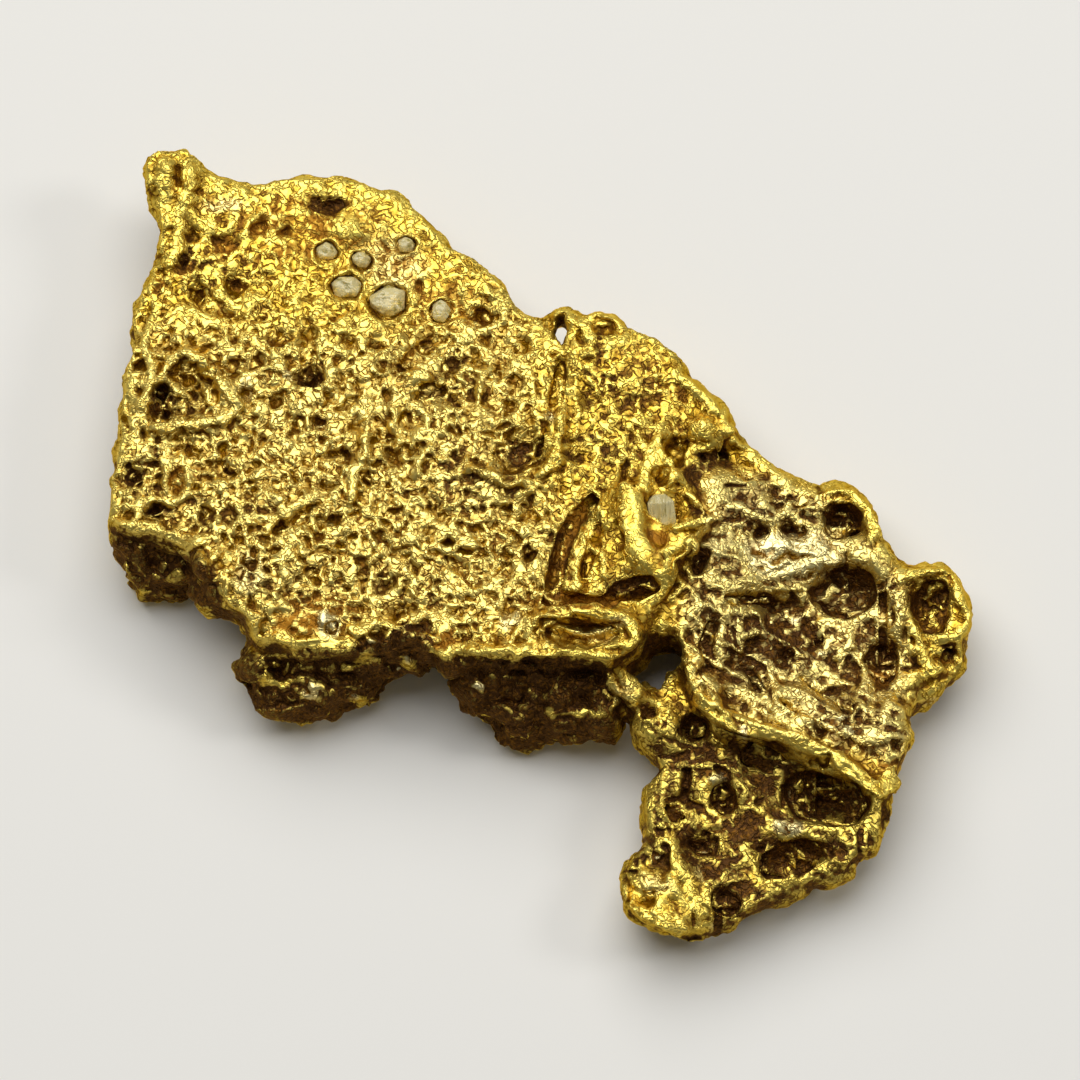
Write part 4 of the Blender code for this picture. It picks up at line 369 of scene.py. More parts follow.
    (0.14, 0.16, [(-16.2, -1.9), (-15.8, -2.2)]), (0.14, 0.14, [(-16.6, -1.2), (-16.4, -1.8)]),
    (0.13, 0.12, [(-15.9, -1.1), (-15.4, -1.4)]),
    (0.17, 0.16, [(-11.2, -5.6), (-10.5, -5.75), (-9.8, -5.7)]),
    (0.12, 0.12, [(-11.7, -5.0), (-11.2, -6.3)]), (0.13, 0.16, [(-10.3, -6.9), (-9.5, -6.7)]),
    (0.16, 0.14, [(-7.6, -5.0), (-7.0, -4.75), (-6.4, -4.9)]),
    (0.13, 0.12, [(-8.6, -4.4), (-8.8, -5.1), (-8.2, -5.4)]), (0.12, 0.12, [(-8.8, -6.3), (-8.3, -6.6)]),
    (0.15, 0.16, [(0.0, -6.95), (1.0, -6.85), (2.4, -6.9), (3.0, -6.6)]),
    (0.13, 0.12, [(0.2, -6.3), (0.7, -6.45)]), (0.13, 0.14, [(-2.9, -6.2), (-2.7, -6.8)]),
    (0.13, 0.14, [(-1.5, -7.1), (-0.5, -7.1)]), (0.13, 0.12, [(-1.4, -7.6), (-0.2, -7.9)]),
    (0.14, 0.14, [(2.6, -5.4), (3.0, -6.5)]), (0.12, 0.12, [(3.4, -6.4), (4.2, -6.4)]),
]

# The low rims that hold the quartz grains: (u, v, half width of the grain)
GRAIN_RIMS = [
    (-8.6, 11.6, 0.48), (-7.2, 11.3, 0.42), (-7.8, 10.2, 0.66), (-6.1, 9.6, 0.84), (-4.0, 9.2, 0.5),
    (-5.4, 11.9, 0.4),
]

# Grooves and cracks: (half width, how deep, [(u, v) places they run through])
GROOVES = [
    (0.4, 0.22, [(3.6, 2.0), (3.9, 0.9), (4.3, -0.1), (4.8, -1.2), (5.6, -0.6)]),
    (0.3, 0.18, [(6.1, -5.4), (7.2, -6.9), (8.6, -7.5)]),
    (0.12, 0.16, [(9.2, -7.75), (10.8, -8.4), (12.2, -9.2)]),
    (0.14, 0.2, [(1.0, 0.6), (0.75, -0.3), (0.6, -1.2), (0.5, -1.9)]),
    (0.1, 0.15, [(1.85, -1.0), (1.85, -2.1)]), (0.12, 0.25, [(0.1, 4.6), (0.05, 3.5), (-0.2, 3.0)]),
    (0.11, 0.16, [(-0.1, -3.3), (2.0, -3.4)]), (0.13, 0.24, [(-1.2, -2.5), (0.6, -2.6), (1.0, -2.7)]),
    (0.11, 0.14, [(6.9, 0.7), (8.0, 0.75)]), (0.12, 0.16, [(9.4, -0.75), (10.2, -0.65), (10.9, -0.75)]),
    (0.1, 0.15, [(6.3, -5.15), (7.3, -5.15)]),
    (0.1, 0.18, [(8.2, -7.2), (9.0, -7.15), (10.0, -7.75), (10.9, -8.1), (11.9, -8.3)]),
    (0.1, 0.15, [(7.6, -4.0), (7.6, -5.2)]), (0.11, 0.2, [(-9.9, -5.3), (-8.9, -5.4), (-8.5, -5.8)]),
    (0.13, 0.22, [(5.2, -13.2), (5.7, -13.9), (6.2, -14.7), (6.6, -15.3)]),
    (0.07, 0.1, [(3.9, -13.6), (4.2, -14.2)]), (0.08, 0.12, [(4.5, -14.0), (4.9, -13.9), (5.2, -13.6)]),
    (0.08, 0.12, [(3.5, -14.4), (4.3, -14.3), (4.9, -14.1)]),
    (0.08, 0.12, [(4.4, -14.5), (5.0, -15.0), (5.6, -15.4)]), (0.07, 0.1, [(5.0, -14.2), (5.6, -14.9)]),
    (0.07, 0.1, [(4.7, -14.9), (5.2, -14.6)]), (0.1, 0.16, [(-7.5, -4.4), (-6.9, -4.4), (-6.4, -4.0)]),
    (0.1, 0.12, [(11.3, -2.9), (12.2, -2.9)]), (0.12, 0.16, [(-16.8, 0.15), (-15.4, -0.1), (-13.6, -0.35)]),
    (0.11, 0.14, [(-2.7, -5.2), (0.6, -5.3), (2.3, -5.2)]),
    (0.1, 0.12, [(-2.2, -6.6), (-0.8, -6.5), (0.4, -6.6)]),
    (0.1, 0.12, [(4.8, -8.6), (6.4, -8.9), (7.8, -8.9)]),
]

# Outlines of the parts of the skin that differ
SPONGE = [
    (-17.2, 15.0), (-13.5, 14.6), (-7.0, 14.5), (-2.0, 11.0), (2.0, 9.3), (6.4, 6.6), (7.6, 4.4), (5.4, 2.2),
    (3.2, 2.6), (1.6, 1.4), (0.9, -2.0), (0.8, -4.6), (-4.0, -4.8), (-12.0, -4.2), (-13.4, -0.5),
    (-17.4, 0.2),
]
WORMY = [
    (-16.8, 8.6), (-12.0, 8.6), (-9.0, 8.0), (-5.0, 8.5), (-2.0, 10.0), (-0.6, 9.0), (-0.2, 5.0),
    (-0.6, 3.0), (0.9, 1.0), (0.4, -4.2), (-12.0, -3.6), (-13.4, -0.5), (-17.2, 0.4),
]
RUBBLE = [
    (6.6, 3.0), (9.6, 2.2), (11.6, 1.6), (13.6, -0.4), (14.8, -2.0), (14.6, -9.0), (11.0, -7.9), (8.0, -7.0),
    (6.2, -5.8), (5.6, -3.0), (6.4, 0.0),
]
TAIL = [
    (3.4, -6.0), (8.0, -7.8), (12.6, -9.8), (14.4, -11.0), (12.0, -13.8), (7.2, -16.2), (3.0, -15.8),
    (3.4, -12.0), (4.6, -9.4),
]
LUMPS = [
    (-17.4, 0.1), (-13.4, -0.6), (-11.6, -4.6), (-7.6, -4.3), (-4.6, -3.3), (-4.2, -4.7), (2.6, -4.9),
    (3.2, -8.6), (-3.6, -8.6), (-6.4, -7.4), (-12.2, -7.4), (-13.0, -2.6), (-17.4, -2.8),
]

# Where the fine sponge is missing: (u, v, half width, half depth, how much)
SMOOTH = [
    (10.0, -0.4, 2.3, 0.7, 0.6), (-9.6, -3.3, 1.4, 0.5, 0.8), (-8.5, 12.6, 4.4, 1.8, 0.5),
    (-4.2, 10.6, 3.0, 1.2, -38, 0.5), (-13.6, 13.2, 1.2, 1.6, 0.4), (-8.2, 12.3, 1.2, 0.8, 0.8),
    (-12.7, 13.5, 0.8, 0.4, 0.6), (-4.85, 6.6, 0.65, 0.65, 0.7), (4.1, 0.6, 0.8, 2.0, 1.0),
    (4.7, -1.0, 0.7, 1.1, 1.0), (5.6, 0.0, 0.6, 0.5, 0.8), (3.8, 7.2, 1.0, 0.8, 0.5),
    (7.5, 4.5, 0.6, 0.8, 0.8), (4.9, 3.4, 0.35, 1.1, 0.8), (-8.5, -3.5, 0.5, 0.6, 0.9),
    (-9.4, -3.2, 1.6, 0.4, 0.7), (13.4, -0.9, 0.5, 0.8, 0.8), (2.5, 8.5, 0.7, 0.4, 0.7),
    (6.4, 5.8, 1.0, 0.35, -38, 0.8), (12.5, -5.4, 0.45, 0.45, 0.8), (9.4, -7.6, 1.0, 0.3, -15, 1.0),
    (11.2, -8.45, 1.2, 0.32, -18, 1.0), (12.6, -9.3, 0.9, 0.45, -40, 1.0), (13.6, -9.9, 0.6, 0.6, 0.6),
    (7.4, -10.2, 0.5, 0.7, 0.8), (7.2, -0.3, 0.8, 0.7, 0.7), (11.3, -2.2, 0.6, 0.5, 0.7),
    (5.0, -14.2, 1.4, 0.9, -20, 0.7), (-10.0, -1.8, 0.4, 0.4, 0.3),
]

# Slits in the solid that the skin closes over: (u, v, half width, half depth, how much)
CLOSED = [
    (7.85, 2.2, 0.95, 0.5, 1.0), (-8.33, -3.5, 0.6, 0.6, 1.0),
]

# Films and stains: (u, v, half width, half depth, strength)
PATINA = [
    (8.4, 1.0, 1.7, 1.0, 0.42), (-16.9, 0.2, 0.5, 0.5, 0.7), (12.1, -2.1, 1.7, 1.2, 0.6),
    (12.1, 0.85, 0.85, 0.75, 0.62), (15.8, -2.7, 0.85, 1.1, 0.4), (16.4, -4.4, 0.5, 0.4, 0.55),
    (13.6, -4.6, 0.7, 1.1, 0.5), (14.8, -5.0, 0.5, 0.3, 0.8), (9.4, -4.0, 2.6, 1.7, 0.62),
    (11.2, -6.7, 2.0, 0.9, -30, 0.52), (6.8, 3.2, 0.9, 0.5, 0.55), (6.1, 2.6, 0.5, 0.5, 0.7),
    (6.2, 1.2, 0.5, 0.3, 0.6), (6.4, -0.8, 0.4, 0.7, 0.7), (8.6, -2.4, 0.9, 0.35, 0.6),
    (-4.9, -3.8, 0.9, 0.7, 0.9), (-15.1, 5.7, 0.7, 0.9, 0.55), (-14.0, 5.4, 0.8, 0.6, 0.35),
    (-9.2, 6.4, 0.6, 0.4, 0.5), (3.6, -1.9, 1.2, 0.4, 0.75), (-8.6, 13.5, 0.9, 0.4, 8, 0.55),
    (-16.3, 2.5, 0.6, 0.45, 0.5), (-15.3, 1.2, 0.6, 0.3, 0.5), (11.4, -10.3, 1.9, 1.1, -18, 0.7),
    (7.4, -10.2, 0.5, 0.7, 0.7), (8.5, -11.3, 0.5, 0.9, 0.75), (10.3, -12.4, 1.5, 0.7, 14, 0.55),
    (6.4, -12.0, 0.8, 0.7, 0.6), (7.6, -14.4, 0.8, 0.8, 0.7), (4.7, -11.4, 0.6, 1.0, 0.5),
    (5.4, -10.4, 0.8, 0.6, 0.55), (6.0, -8.6, 2.2, 0.8, -6, 0.8), (6.1, -7.4, 0.7, 0.55, 0.75),
    (9.5, -9.2, 1.6, 0.8, -25, 0.8), (7.0, -5.3, 0.7, 0.3, 0.4), (-0.7, 3.5, 0.8, 0.7, 0.45),
    (10.0, 1.6, 0.5, 0.4, 0.5), (10.0, 0.4, 0.5, 0.4, 0.45), (9.0, 0.4, 0.5, 0.3, 0.45),
    (8.0, -3.9, 0.7, 0.9, 0.5), (11.0, -5.6, 0.6, 0.3, 0.55),
    # haze over wider places
    (-2.4, 2.4, 2.4, 1.6, 0.28), (0.6, -0.6, 1.0, 2.2, 0.25), (-10.6, -1.6, 1.8, 1.1, 0.25),
    (-13.2, 11.4, 2.0, 1.7, 0.26), (-15.9, 3.0, 1.0, 2.6, 0.22), (-13.0, 1.0, 2.6, 0.9, 0.22),
    (2.3, 3.3, 2.0, 1.2, 0.3), (3.2, 6.2, 2.2, 2.2, -30, 0.28), (-3.6, 6.2, 1.6, 1.5, 0.2),
    (-5.6, -1.9, 2.6, 0.9, 0.22),
]
BARE = [
    (-15.8, -1.7, 1.8, 1.4, 0.16), (-8.6, -3.5, 0.9, 0.6, 1.0), (4.9, -14.4, 2.0, 1.5, -25, 1.0),
    (13.6, -9.9, 1.0, 0.9, 0.7), (-10.5, -5.65, 0.9, 0.25, 0.7), (-7.1, -4.9, 0.8, 0.22, 8, 0.6),
    (-7.8, -5.05, 0.3, 0.25, 0.9), (-7.15, -6.5, 0.4, 0.3, 0.7), (-9.2, -6.1, 0.45, 0.4, 0.9),
    (-15.9, -2.0, 0.4, 0.2, 0.6), (-5.5, -4.9, 0.6, 0.4, 0.6), (10.0, -0.6, 2.4, 1.0, 1.0),
    (3.2, -6.3, 0.6, 0.4, 0.8), (1.6, -7.0, 1.6, 0.2, 0.5), (-9.4, -5.2, 2.4, 1.3, 0.22),
    (-2.4, -5.75, 0.3, 0.2, 30, 1.0),
]
STAIN = [
    (-9.5, 12.5, 3.4, 1.5, 0.42), (-4.2, 10.0, 2.4, 1.5, -36, 0.3), (-9.6, -3.3, 1.2, 0.45, 0.6),
    (4.0, 6.4, 2.4, 2.0, -30, 0.28), (14.6, 1.4, 0.4, 0.4, 0.3), (-12.8, 11.8, 0.65, 0.55, 0.75),
    (-14.3, 10.9, 0.45, 0.45, 0.6), (-11.9, 11.4, 0.7, 0.5, 0.35), (1.2, 0.1, 0.55, 2.0, -14, 0.6),
    (1.5, -2.45, 1.7, 0.3, 0.75), (4.6, 0.1, 0.5, 0.3, 0.5), (13.6, -5.5, 0.6, 0.6, 0.75),
    (13.7, -4.4, 0.5, 0.8, 0.45), (15.8, -2.6, 0.9, 1.1, 0.5), (16.2, -5.1, 0.6, 0.4, 0.4),
    (7.0, -5.6, 0.7, 0.4, 0.55), (-3.9, -4.1, 0.5, 0.5, 0.7), (-9.0, -2.9, 1.7, 0.7, 0.35),
    (-10.3, -6.3, 0.9, 0.7, 0.6), (10.2, -12.7, 1.6, 0.6, 12, 0.45), (6.0, -7.7, 0.6, 0.4, 0.45),
    (7.4, 4.4, 0.5, 0.6, 0.35), (-14.5, 2.6, 0.5, 0.5, 0.35), (8.2, -10.8, 0.4, 0.9, 0.45),
    (-15.3, 10.4, 0.3, 0.4, 0.4), (4.6, -11.6, 0.4, 0.8, 0.3), (-12.3, 10.2, 0.4, 0.4, 0.35),
    (4.2, 1.2, 0.6, 1.0, 0.2), (12.2, 0.8, 0.8, 0.6, 0.35), (8.0, -3.8, 0.6, 0.8, 0.35),
    (14.0, -9.0, 0.4, 0.5, 0.4),
]
PALE = [
    (-8.45, -3.4, 0.5, 0.55, 0.95), (2.0, -3.75, 1.0, 0.3, 0.4), (10.0, -0.3, 2.4, 0.8, 0.85),
    (8.6, 1.2, 2.2, 1.5, 0.45), (10.2, -0.8, 2.6, 0.9, 0.75), (7.2, -0.2, 0.9, 0.8, 0.55),
    (8.6, -5.0, 1.6, 1.2, 0.45), (11.0, -6.8, 2.4, 1.0, -35, 0.45), (9.4, -3.2, 1.6, 0.7, 0.45),
    (-12.8, 13.5, 0.9, 0.35, 0.5), (-11.75, 6.1, 0.3, 0.6, 0.6), (-10.15, 6.6, 0.35, 0.35, 0.7),
    (-8.8, 4.7, 0.4, 0.35, 0.5), (-11.5, -1.2, 0.8, 1.1, 0.5), (-6.0, 11.2, 1.4, 1.2, -30, 0.35),
    (-1.2, -3.2, 0.45, 0.4, 0.6), (0.3, 4.9, 0.2, 0.2, 0.8), (2.7, -3.3, 0.8, 0.3, 0.5),
    (12.0, -7.1, 0.3, 0.2, 0.95), (12.3, -7.6, 0.3, 0.2, -30, 0.95), (8.05, -7.6, 0.2, 0.35, 0.9),
    (9.5, -11.4, 0.4, 0.3, 0.8), (10.1, -11.4, 0.3, 0.3, 0.9), (7.2, -9.4, 0.25, 0.2, 0.95),
    (6.8, -9.5, 0.25, 0.15, 0.8), (9.9, -10.2, 0.17, 0.17, 0.9), (6.6, -12.4, 0.25, 0.2, 0.8),
    (-9.15, -6.05, 0.4, 0.4, 0.8), (-7.0, -5.95, 0.25, 0.2, 0.9), (-7.45, -6.3, 0.16, 0.16, 0.9),
    (-5.65, -5.1, 0.17, 0.2, 0.9), (-5.2, -4.7, 0.2, 0.15, 20, 0.9), (-6.3, -4.55, 0.17, 0.17, 0.9),
    (-6.7, -4.15, 0.17, 0.17, 0.8), (-2.4, -5.75, 0.32, 0.17, 30, 1.0), (10.2, -3.35, 0.25, 0.15, 1.0),
    (11.3, -4.4, 0.2, 0.16, 0.9), (4.6, -12.7, 0.2, 0.16, 0.9), (7.1, -15.35, 0.35, 0.16, 20, 0.7),
    (6.4, -13.3, 0.3, 0.3, 0.4), (4.6, -13.7, 0.7, 0.4, 0.35), (14.4, -7.7, 0.3, 0.3, 0.5),
    (15.6, -6.4, 0.3, 0.2, 0.6), (3.2, -6.1, 0.6, 0.6, 0.3), (8.8, -5.6, 0.16, 0.3, 0.7),
]


def linear(hex_colour):
    """An sRGB colour such as "D9A441" as the linear values that Blender shades with."""
    parts = np.array([int(hex_colour[i : i + 2], 16) / 255.0 for i in (0, 2, 4)])
    curve = np.where(parts <= 0.04045, parts / 12.92, ((parts + 0.055) / 1.055) ** 2.4)
    return tuple(float(part) for part in curve)


def rgba(colour):
    """A colour with the full cover that a shader's colour socket also holds."""
    return (*colour, 1.0)


def fade(t):
    """The smooth step: 0 below 0, 1 above 1 and t squared times (3 - 2t) between."""
    t = np.clip(t, 0.0, 1.0)
    return t * t * (3.0 - 2.0 * t)


def hashed(cells, seed):
    """A number from 0 to 1 for each whole-number place: multiplied, shifted and mixed bit by bit."""
    mixed = np.full(cells[0].shape, seed * 974711 + 12345, np.uint32)
    for axis, prime in zip(cells, (374761393, 668265263, 2147483647)):
        mixed = mixed ^ (axis.astype(np.int64).astype(np.uint32) * np.uint32(prime))
        mixed = (mixed ^ (mixed >> np.uint32(15))) * np.uint32(2246822519)
    mixed = (mixed ^ (mixed >> np.uint32(13))) * np.uint32(3266489917)
    return (mixed ^ (mixed >> np.uint32(16))) / 4294967295.0


def cloud(places, size, seed):
    """Value noise from -1 to 1: numbers hashed at the corners of cells, blended with the smooth step."""
    scaled = [np.asarray(axis) / size for axis in places]
    floors = [np.floor(axis) for axis in scaled]
    blends = [fade(axis - floor) for axis, floor in zip(scaled, floors)]
    total = 0.0
    for corner in range(2 ** len(places)):
        steps = [(corner >> axis) & 1 for axis in range(len(places))]
        weight = 1.0
        for step, blend in zip(steps, blends):
            weight = weight * (blend if step else 1.0 - blend)
        total = total + weight * hashed([floor + step for floor, step in zip(floors, steps)], seed)
    return 2.0 * total - 1.0


def clouds(places, size, seed, layers=3):
    """Value noise in layers, each half the size and half the strength of the one before."""
    total = 0.0
    for layer in range(layers):
        total = total + cloud(places, size / 2.0**layer, seed + layer) / 2.0**layer
    return total


def nodules(places, size, seed):
    """Worm-like nodules from 0 in the thin gaps between them to 1 on their backs.

    Two value noises, turned against each other, are averaged to n. The gaps follow the lines where n is 0,
    and the height is the smooth step of |n| over a quarter.
    """
    u, v = places[:2]
    first = cloud((0.8 * u + 0.6 * v, 0.8 * v - 0.6 * u), size, seed)
    second = cloud((0.3 * u - 0.95 * v, 0.3 * v + 0.95 * u), size, seed + 1)
    return fade(np.abs(first + second) / 0.5)


def ropes(places, size, seed, half):
    """A net of ropes, 1 along their backs: they follow the lines where a value noise is 0, out to a half."""
    return 1.0 - fade(np.abs(cloud(places, size, seed)) / half)


class SkinMap:
    """Maps over (u, v), one value a cell, into which pits, ridges and stains are worked one by one."""

    def __init__(self):
        """The places of the cells, and the same places bent a little, so that no form is a neat oval."""
        wide, deep = MAP_CELLS
        u = MAP_LOW[0] + MAP_STEP * np.arange(wide)
        v = MAP_LOW[1] + MAP_STEP * np.arange(deep)
        self.u, self.v = np.meshgrid(u, v)
        places = (self.u, self.v)
        self.bent_u = self.u + (0.14 * clouds(places, 0.45, SEED) + 0.06 * cloud(places, 2.2, SEED + 5))
        self.bent_v = self.v + (0.14 * clouds(places, 0.45, SEED + 20) + 0.06 * cloud(places, 2.2, SEED + 25))

    def new(self, value=0.0):
        """An even map."""
        return np.full(self.u.shape, value)

    def window(self, low_u, high_u, low_v, high_v):
        """The rows and columns of the cells between two corners."""
        first = np.floor((np.array((low_u, low_v)) - MAP_LOW) / MAP_STEP).astype(int)
        last = np.ceil((np.array((high_u, high_v)) - MAP_LOW) / MAP_STEP).astype(int) + 1
        first = np.clip(first, 0, MAP_CELLS)
        last = np.clip(last, 0, MAP_CELLS)
        return slice(first[1], last[1]), slice(first[0], last[0])

    def oval(self, row):
        """A cell window and how far out of an oval each of its cells lies: 0 in the middle, 1 on its edge.

        The oval's row is (u, v, half width, half depth) and its turn in degrees where it has one.
        """
        u, v, wide, deep, *turned = row
        reach = 1.6 * max(wide, deep) + 0.3
        cells = self.window(u - reach, u + reach, v - reach, v + reach)
        du = self.bent_u[cells] - u
        dv = self.bent_v[cells] - v
        turn = math.radians(turned[0] if turned else 0.0)
        c, s = math.cos(turn), math.sin(turn)
        return cells, np.hypot((du * c + dv * s) / wide, (dv * c - du * s) / deep)

    def along(self, path, reach):
        """A cell window and the distance of each of its cells to a line through points."""
        points = np.array(path)
        low, high = points.min(0) - reach, points.max(0) + reach
        cells = self.window(low[0], high[0], low[1], high[1])
        u, v = self.bent_u[cells], self.bent_v[cells]
        nearest = np.full(u.shape, 1e9)
        for (u0, v0), (u1, v1) in zip(points, points[1:]):
            length = (u1 - u0) ** 2 + (v1 - v0) ** 2
            share = np.clip(((u - u0) * (u1 - u0) + (v - v0) * (v1 - v0)) / length, 0.0, 1.0)
            nearest = np.minimum(nearest, np.hypot(u - u0 - share * (u1 - u0), v - v0 - share * (v1 - v0)))
        return cells, nearest

    def within(self, outline, soft):
        """1 inside an outline and 0 outside: rays are counted across its sides, and the edge is softened."""
        mask = np.zeros(self.u.shape, bool)
        for (u0, v0), (u1, v1) in zip(outline, outline[1:] + outline[:1]):
            if v0 != v1:
                crossed = (v0 > self.bent_v) != (v1 > self.bent_v)
                mask ^= crossed & (self.bent_u < u0 + (self.bent_v - v0) / (v1 - v0) * (u1 - u0))
        return blurred(mask.astype(float), soft)

    def read(self, values, places):
        """The map's value at (u, v) places, blended between its four nearest cells."""
        across = np.clip((places[:, 0] - MAP_LOW[0]) / MAP_STEP, 0.0, MAP_CELLS[0] - 1.001)
        up = np.clip((places[:, 1] - MAP_LOW[1]) / MAP_STEP, 0.0, MAP_CELLS[1] - 1.001)
        i, j = across.astype(int), up.astype(int)
        s, t = across - i, up - j
        lower = values[j, i] * (1.0 - s) + values[j, i + 1] * s
        upper = values[j + 1, i] * (1.0 - s) + values[j + 1, i + 1] * s
        return lower * (1.0 - t) + upper * t


def blurred(values, width):
    """A map softened by a bell curve of a width in millimetres, as a product of its frequencies."""
    waves_v = np.fft.fftfreq(values.shape[0], MAP_STEP)[:, None]
    waves_u = np.fft.rfftfreq(values.shape[1], MAP_STEP)[None, :]
    bell = np.exp(-2.0 * (math.pi * width) ** 2 * (waves_u**2 + waves_v**2))
    return np.fft.irfft2(np.fft.rfft2(values) * bell, values.shape)


def film_map(skin, rows, base=0.0):
    """How strong a film is at each place: ovals that fade over their outer half, over a given base."""
    film = skin.new() + base
    for *oval, strength in rows:
        cells, out = skin.oval(oval)
        film[cells] = np.maximum(film[cells], strength * (1.0 - fade((out - 0.5) / 0.8)))
    return film


def shards(skin, spacing, seed):
    """Broken, tilted plates over one another: turned ovals whose faces are seeded planes, highest on top."""
    face = skin.new(-0.16)
    wide, deep = MAP_STEP * MAP_CELLS[0], MAP_STEP * MAP_CELLS[1]
    chance = np.random.default_rng(seed)
    for row in range(int(deep / spacing)):
        for column in range(int(wide / spacing)):
            u = MAP_LOW[0] + (column + 0.5 * (row % 2) + chance.uniform(-0.5, 0.5)) * spacing
            v = MAP_LOW[1] + (row + chance.uniform(-0.5, 0.5)) * spacing
            size = spacing * chance.uniform(0.35, 0.75)
            lean_u, lean_v = chance.normal(0.0, 0.32, 2)
            height = chance.uniform(-0.10, 0.10)
            oval = (u, v, size * chance.uniform(1.0, 2.0), size, chance.uniform(0.0, 180.0))
            cells, out = skin.oval(oval)
            plate = height + lean_u * (skin.u[cells] - u) + lean_v * (skin.v[cells] - v)
            face[cells] = np.maximum(face[cells], plate - 0.45 * fade((out - 0.75) / 0.5))
    return np.clip(face, -0.16, 0.22)


def sponge_relief(skin, places, smooth, sponge, broken, beads):
    """The spongy metal: nodules, low swellings, grit, scattered holes and a net of ropes over them.

    Each layer is a noise times its height where the skin is spongy; it is weaker where the skin is smooth or
    broken. Returned are the height and how far each place is a rope's back, which is painted lighter as wear
    and painted highlight.
    """
    wormy = skin.within(WORMY, 0.35)
    sponge = np.maximum(sponge * 0.7, wormy) * (1.0 - smooth)
    size, high = NODULES
    fine = np.maximum(sponge, 0.4 - 0.3 * smooth) * (1.0 - 0.5 * broken)
    height = high * fine * (nodules(places, size, SEED + 60) - 0.75)
    size, high = SWELLS
    grit_size, grit_high = GRIT
    grit = grit_high * clouds(places, grit_size, SEED + 68, 2)
    height += high * sponge * clouds(places, size, SEED + 62, 2) + grit
    size, low = HOLES
    holes = fade((clouds(places, size, SEED + 1, 2) - 0.35) / 0.40) * (wormy + 0.35 * sponge)
    height -= low * holes * (1.0 - smooth)
    size, high = ROPES
    net = ropes(places, size, SEED + 92, 0.30)
    net *= sponge * (0.7 + 0.3 * beads)
    net = np.maximum(net, 0.9 * ropes(places, THIN_ROPES, SEED + 95, 0.30) * sponge)
    height += high * net
    return height, 0.8 * net


def strands_over(places):
    """The crumpled folds of the wing: ropes that a wide noise sweeps aside, turned and drawn out."""
    size, sweep = STRAND_SWEEP
    swept_u = places[0] + sweep * cloud(places, size, SEED + 102)
    swept_v = places[1] + sweep * cloud(places, size, SEED + 104)
    turn = math.radians(STRAND_TURN)
    along = STRAND_STRETCH * (swept_u * math.cos(turn) + swept_v * math.sin(turn))
    across = swept_v * math.cos(turn) - swept_u * math.sin(turn)
    return ropes((along, across), STRANDS[0], SEED + 106, 0.42)


def carve(skin, height, places, rubble, broken):
    """The named pits, with ragged edges and rubble on their floors, and the grooves, cut into the height."""
    ragged = (0.15 + 0.20 * broken) * clouds(places, 0.55, SEED + 94, 3)
    size, high = PIT_NODULES
    plate_size, plate_high = PIT_PLATES
    plates = plate_high * shards(skin, plate_size, SEED + 98)
    rubbly = high * (nodules(places, size, SEED + 96) - 0.6) + plates
    for *oval, low in PITS:
        cells, out = skin.oval(oval)
        out = out + ragged[cells] / min(oval[2], oval[3])
        share = 1.0 - fade((out - 0.30) / 0.85)
        height[cells] -= share * (0.7 * low * (1.0 - 0.45 * rubble[cells]) - rubbly[cells])
    for half, low, path in GROOVES:
        cells, gap = skin.along(path, 2.0 * half)
        height[cells] -= low * (1.0 - fade(gap / (1.5 * half)))


def build_up(skin, height, wear_and_highlight, beads):
    """The named ridges, the rims round the quartz and the knobs, raised over the height and marked to be
    painted lighter, as wear and painted highlight.

    A ridge is beaded along its run, split by a fine crease where it is wide, and has a furrow on each side.
    """
    for half, high, path in RIDGES:
        half = half * RIDGE_SPREAD
        cells, gap = skin.along(path, 3.0 * half)
        share = 1.0 - fade(gap / (1.5 * half))
        beaded = 1.6 + 0.5 * beads[cells] - 0.8 * np.exp(-((gap / 0.05) ** 2)) * (half > 0.19)
        height[cells] -= 0.35 * high * np.exp(-(((gap - 2.1 * half) / (0.5 * half)) ** 2))
        height[cells] += share * (beaded * high - 0.65 * height[cells])
        wear_and_highlight[cells] = np.maximum(wear_and_highlight[cells], share)
    for u, v, reach in GRAIN_RIMS:
        cells, out = skin.oval((u, v, reach, 0.92 * reach))
        ring = np.exp(-(((out - 1.15) / 0.17) ** 2))
        height[cells] += ring * (0.16 + 0.06 * beads[cells])
        wear_and_highlight[cells] = np.maximum(wear_and_highlight[cells], 0.8 * ring)
    for *oval, high in BUMPS:
        cells, out = skin.oval(oval)
        share = 1.0 - fade(out / 1.25)
        height[cells] += share * (high + 0.6 * np.maximum(0.0, -height[cells]))
        wear_and_highlight[cells] = np.maximum(wear_and_highlight[cells], share)


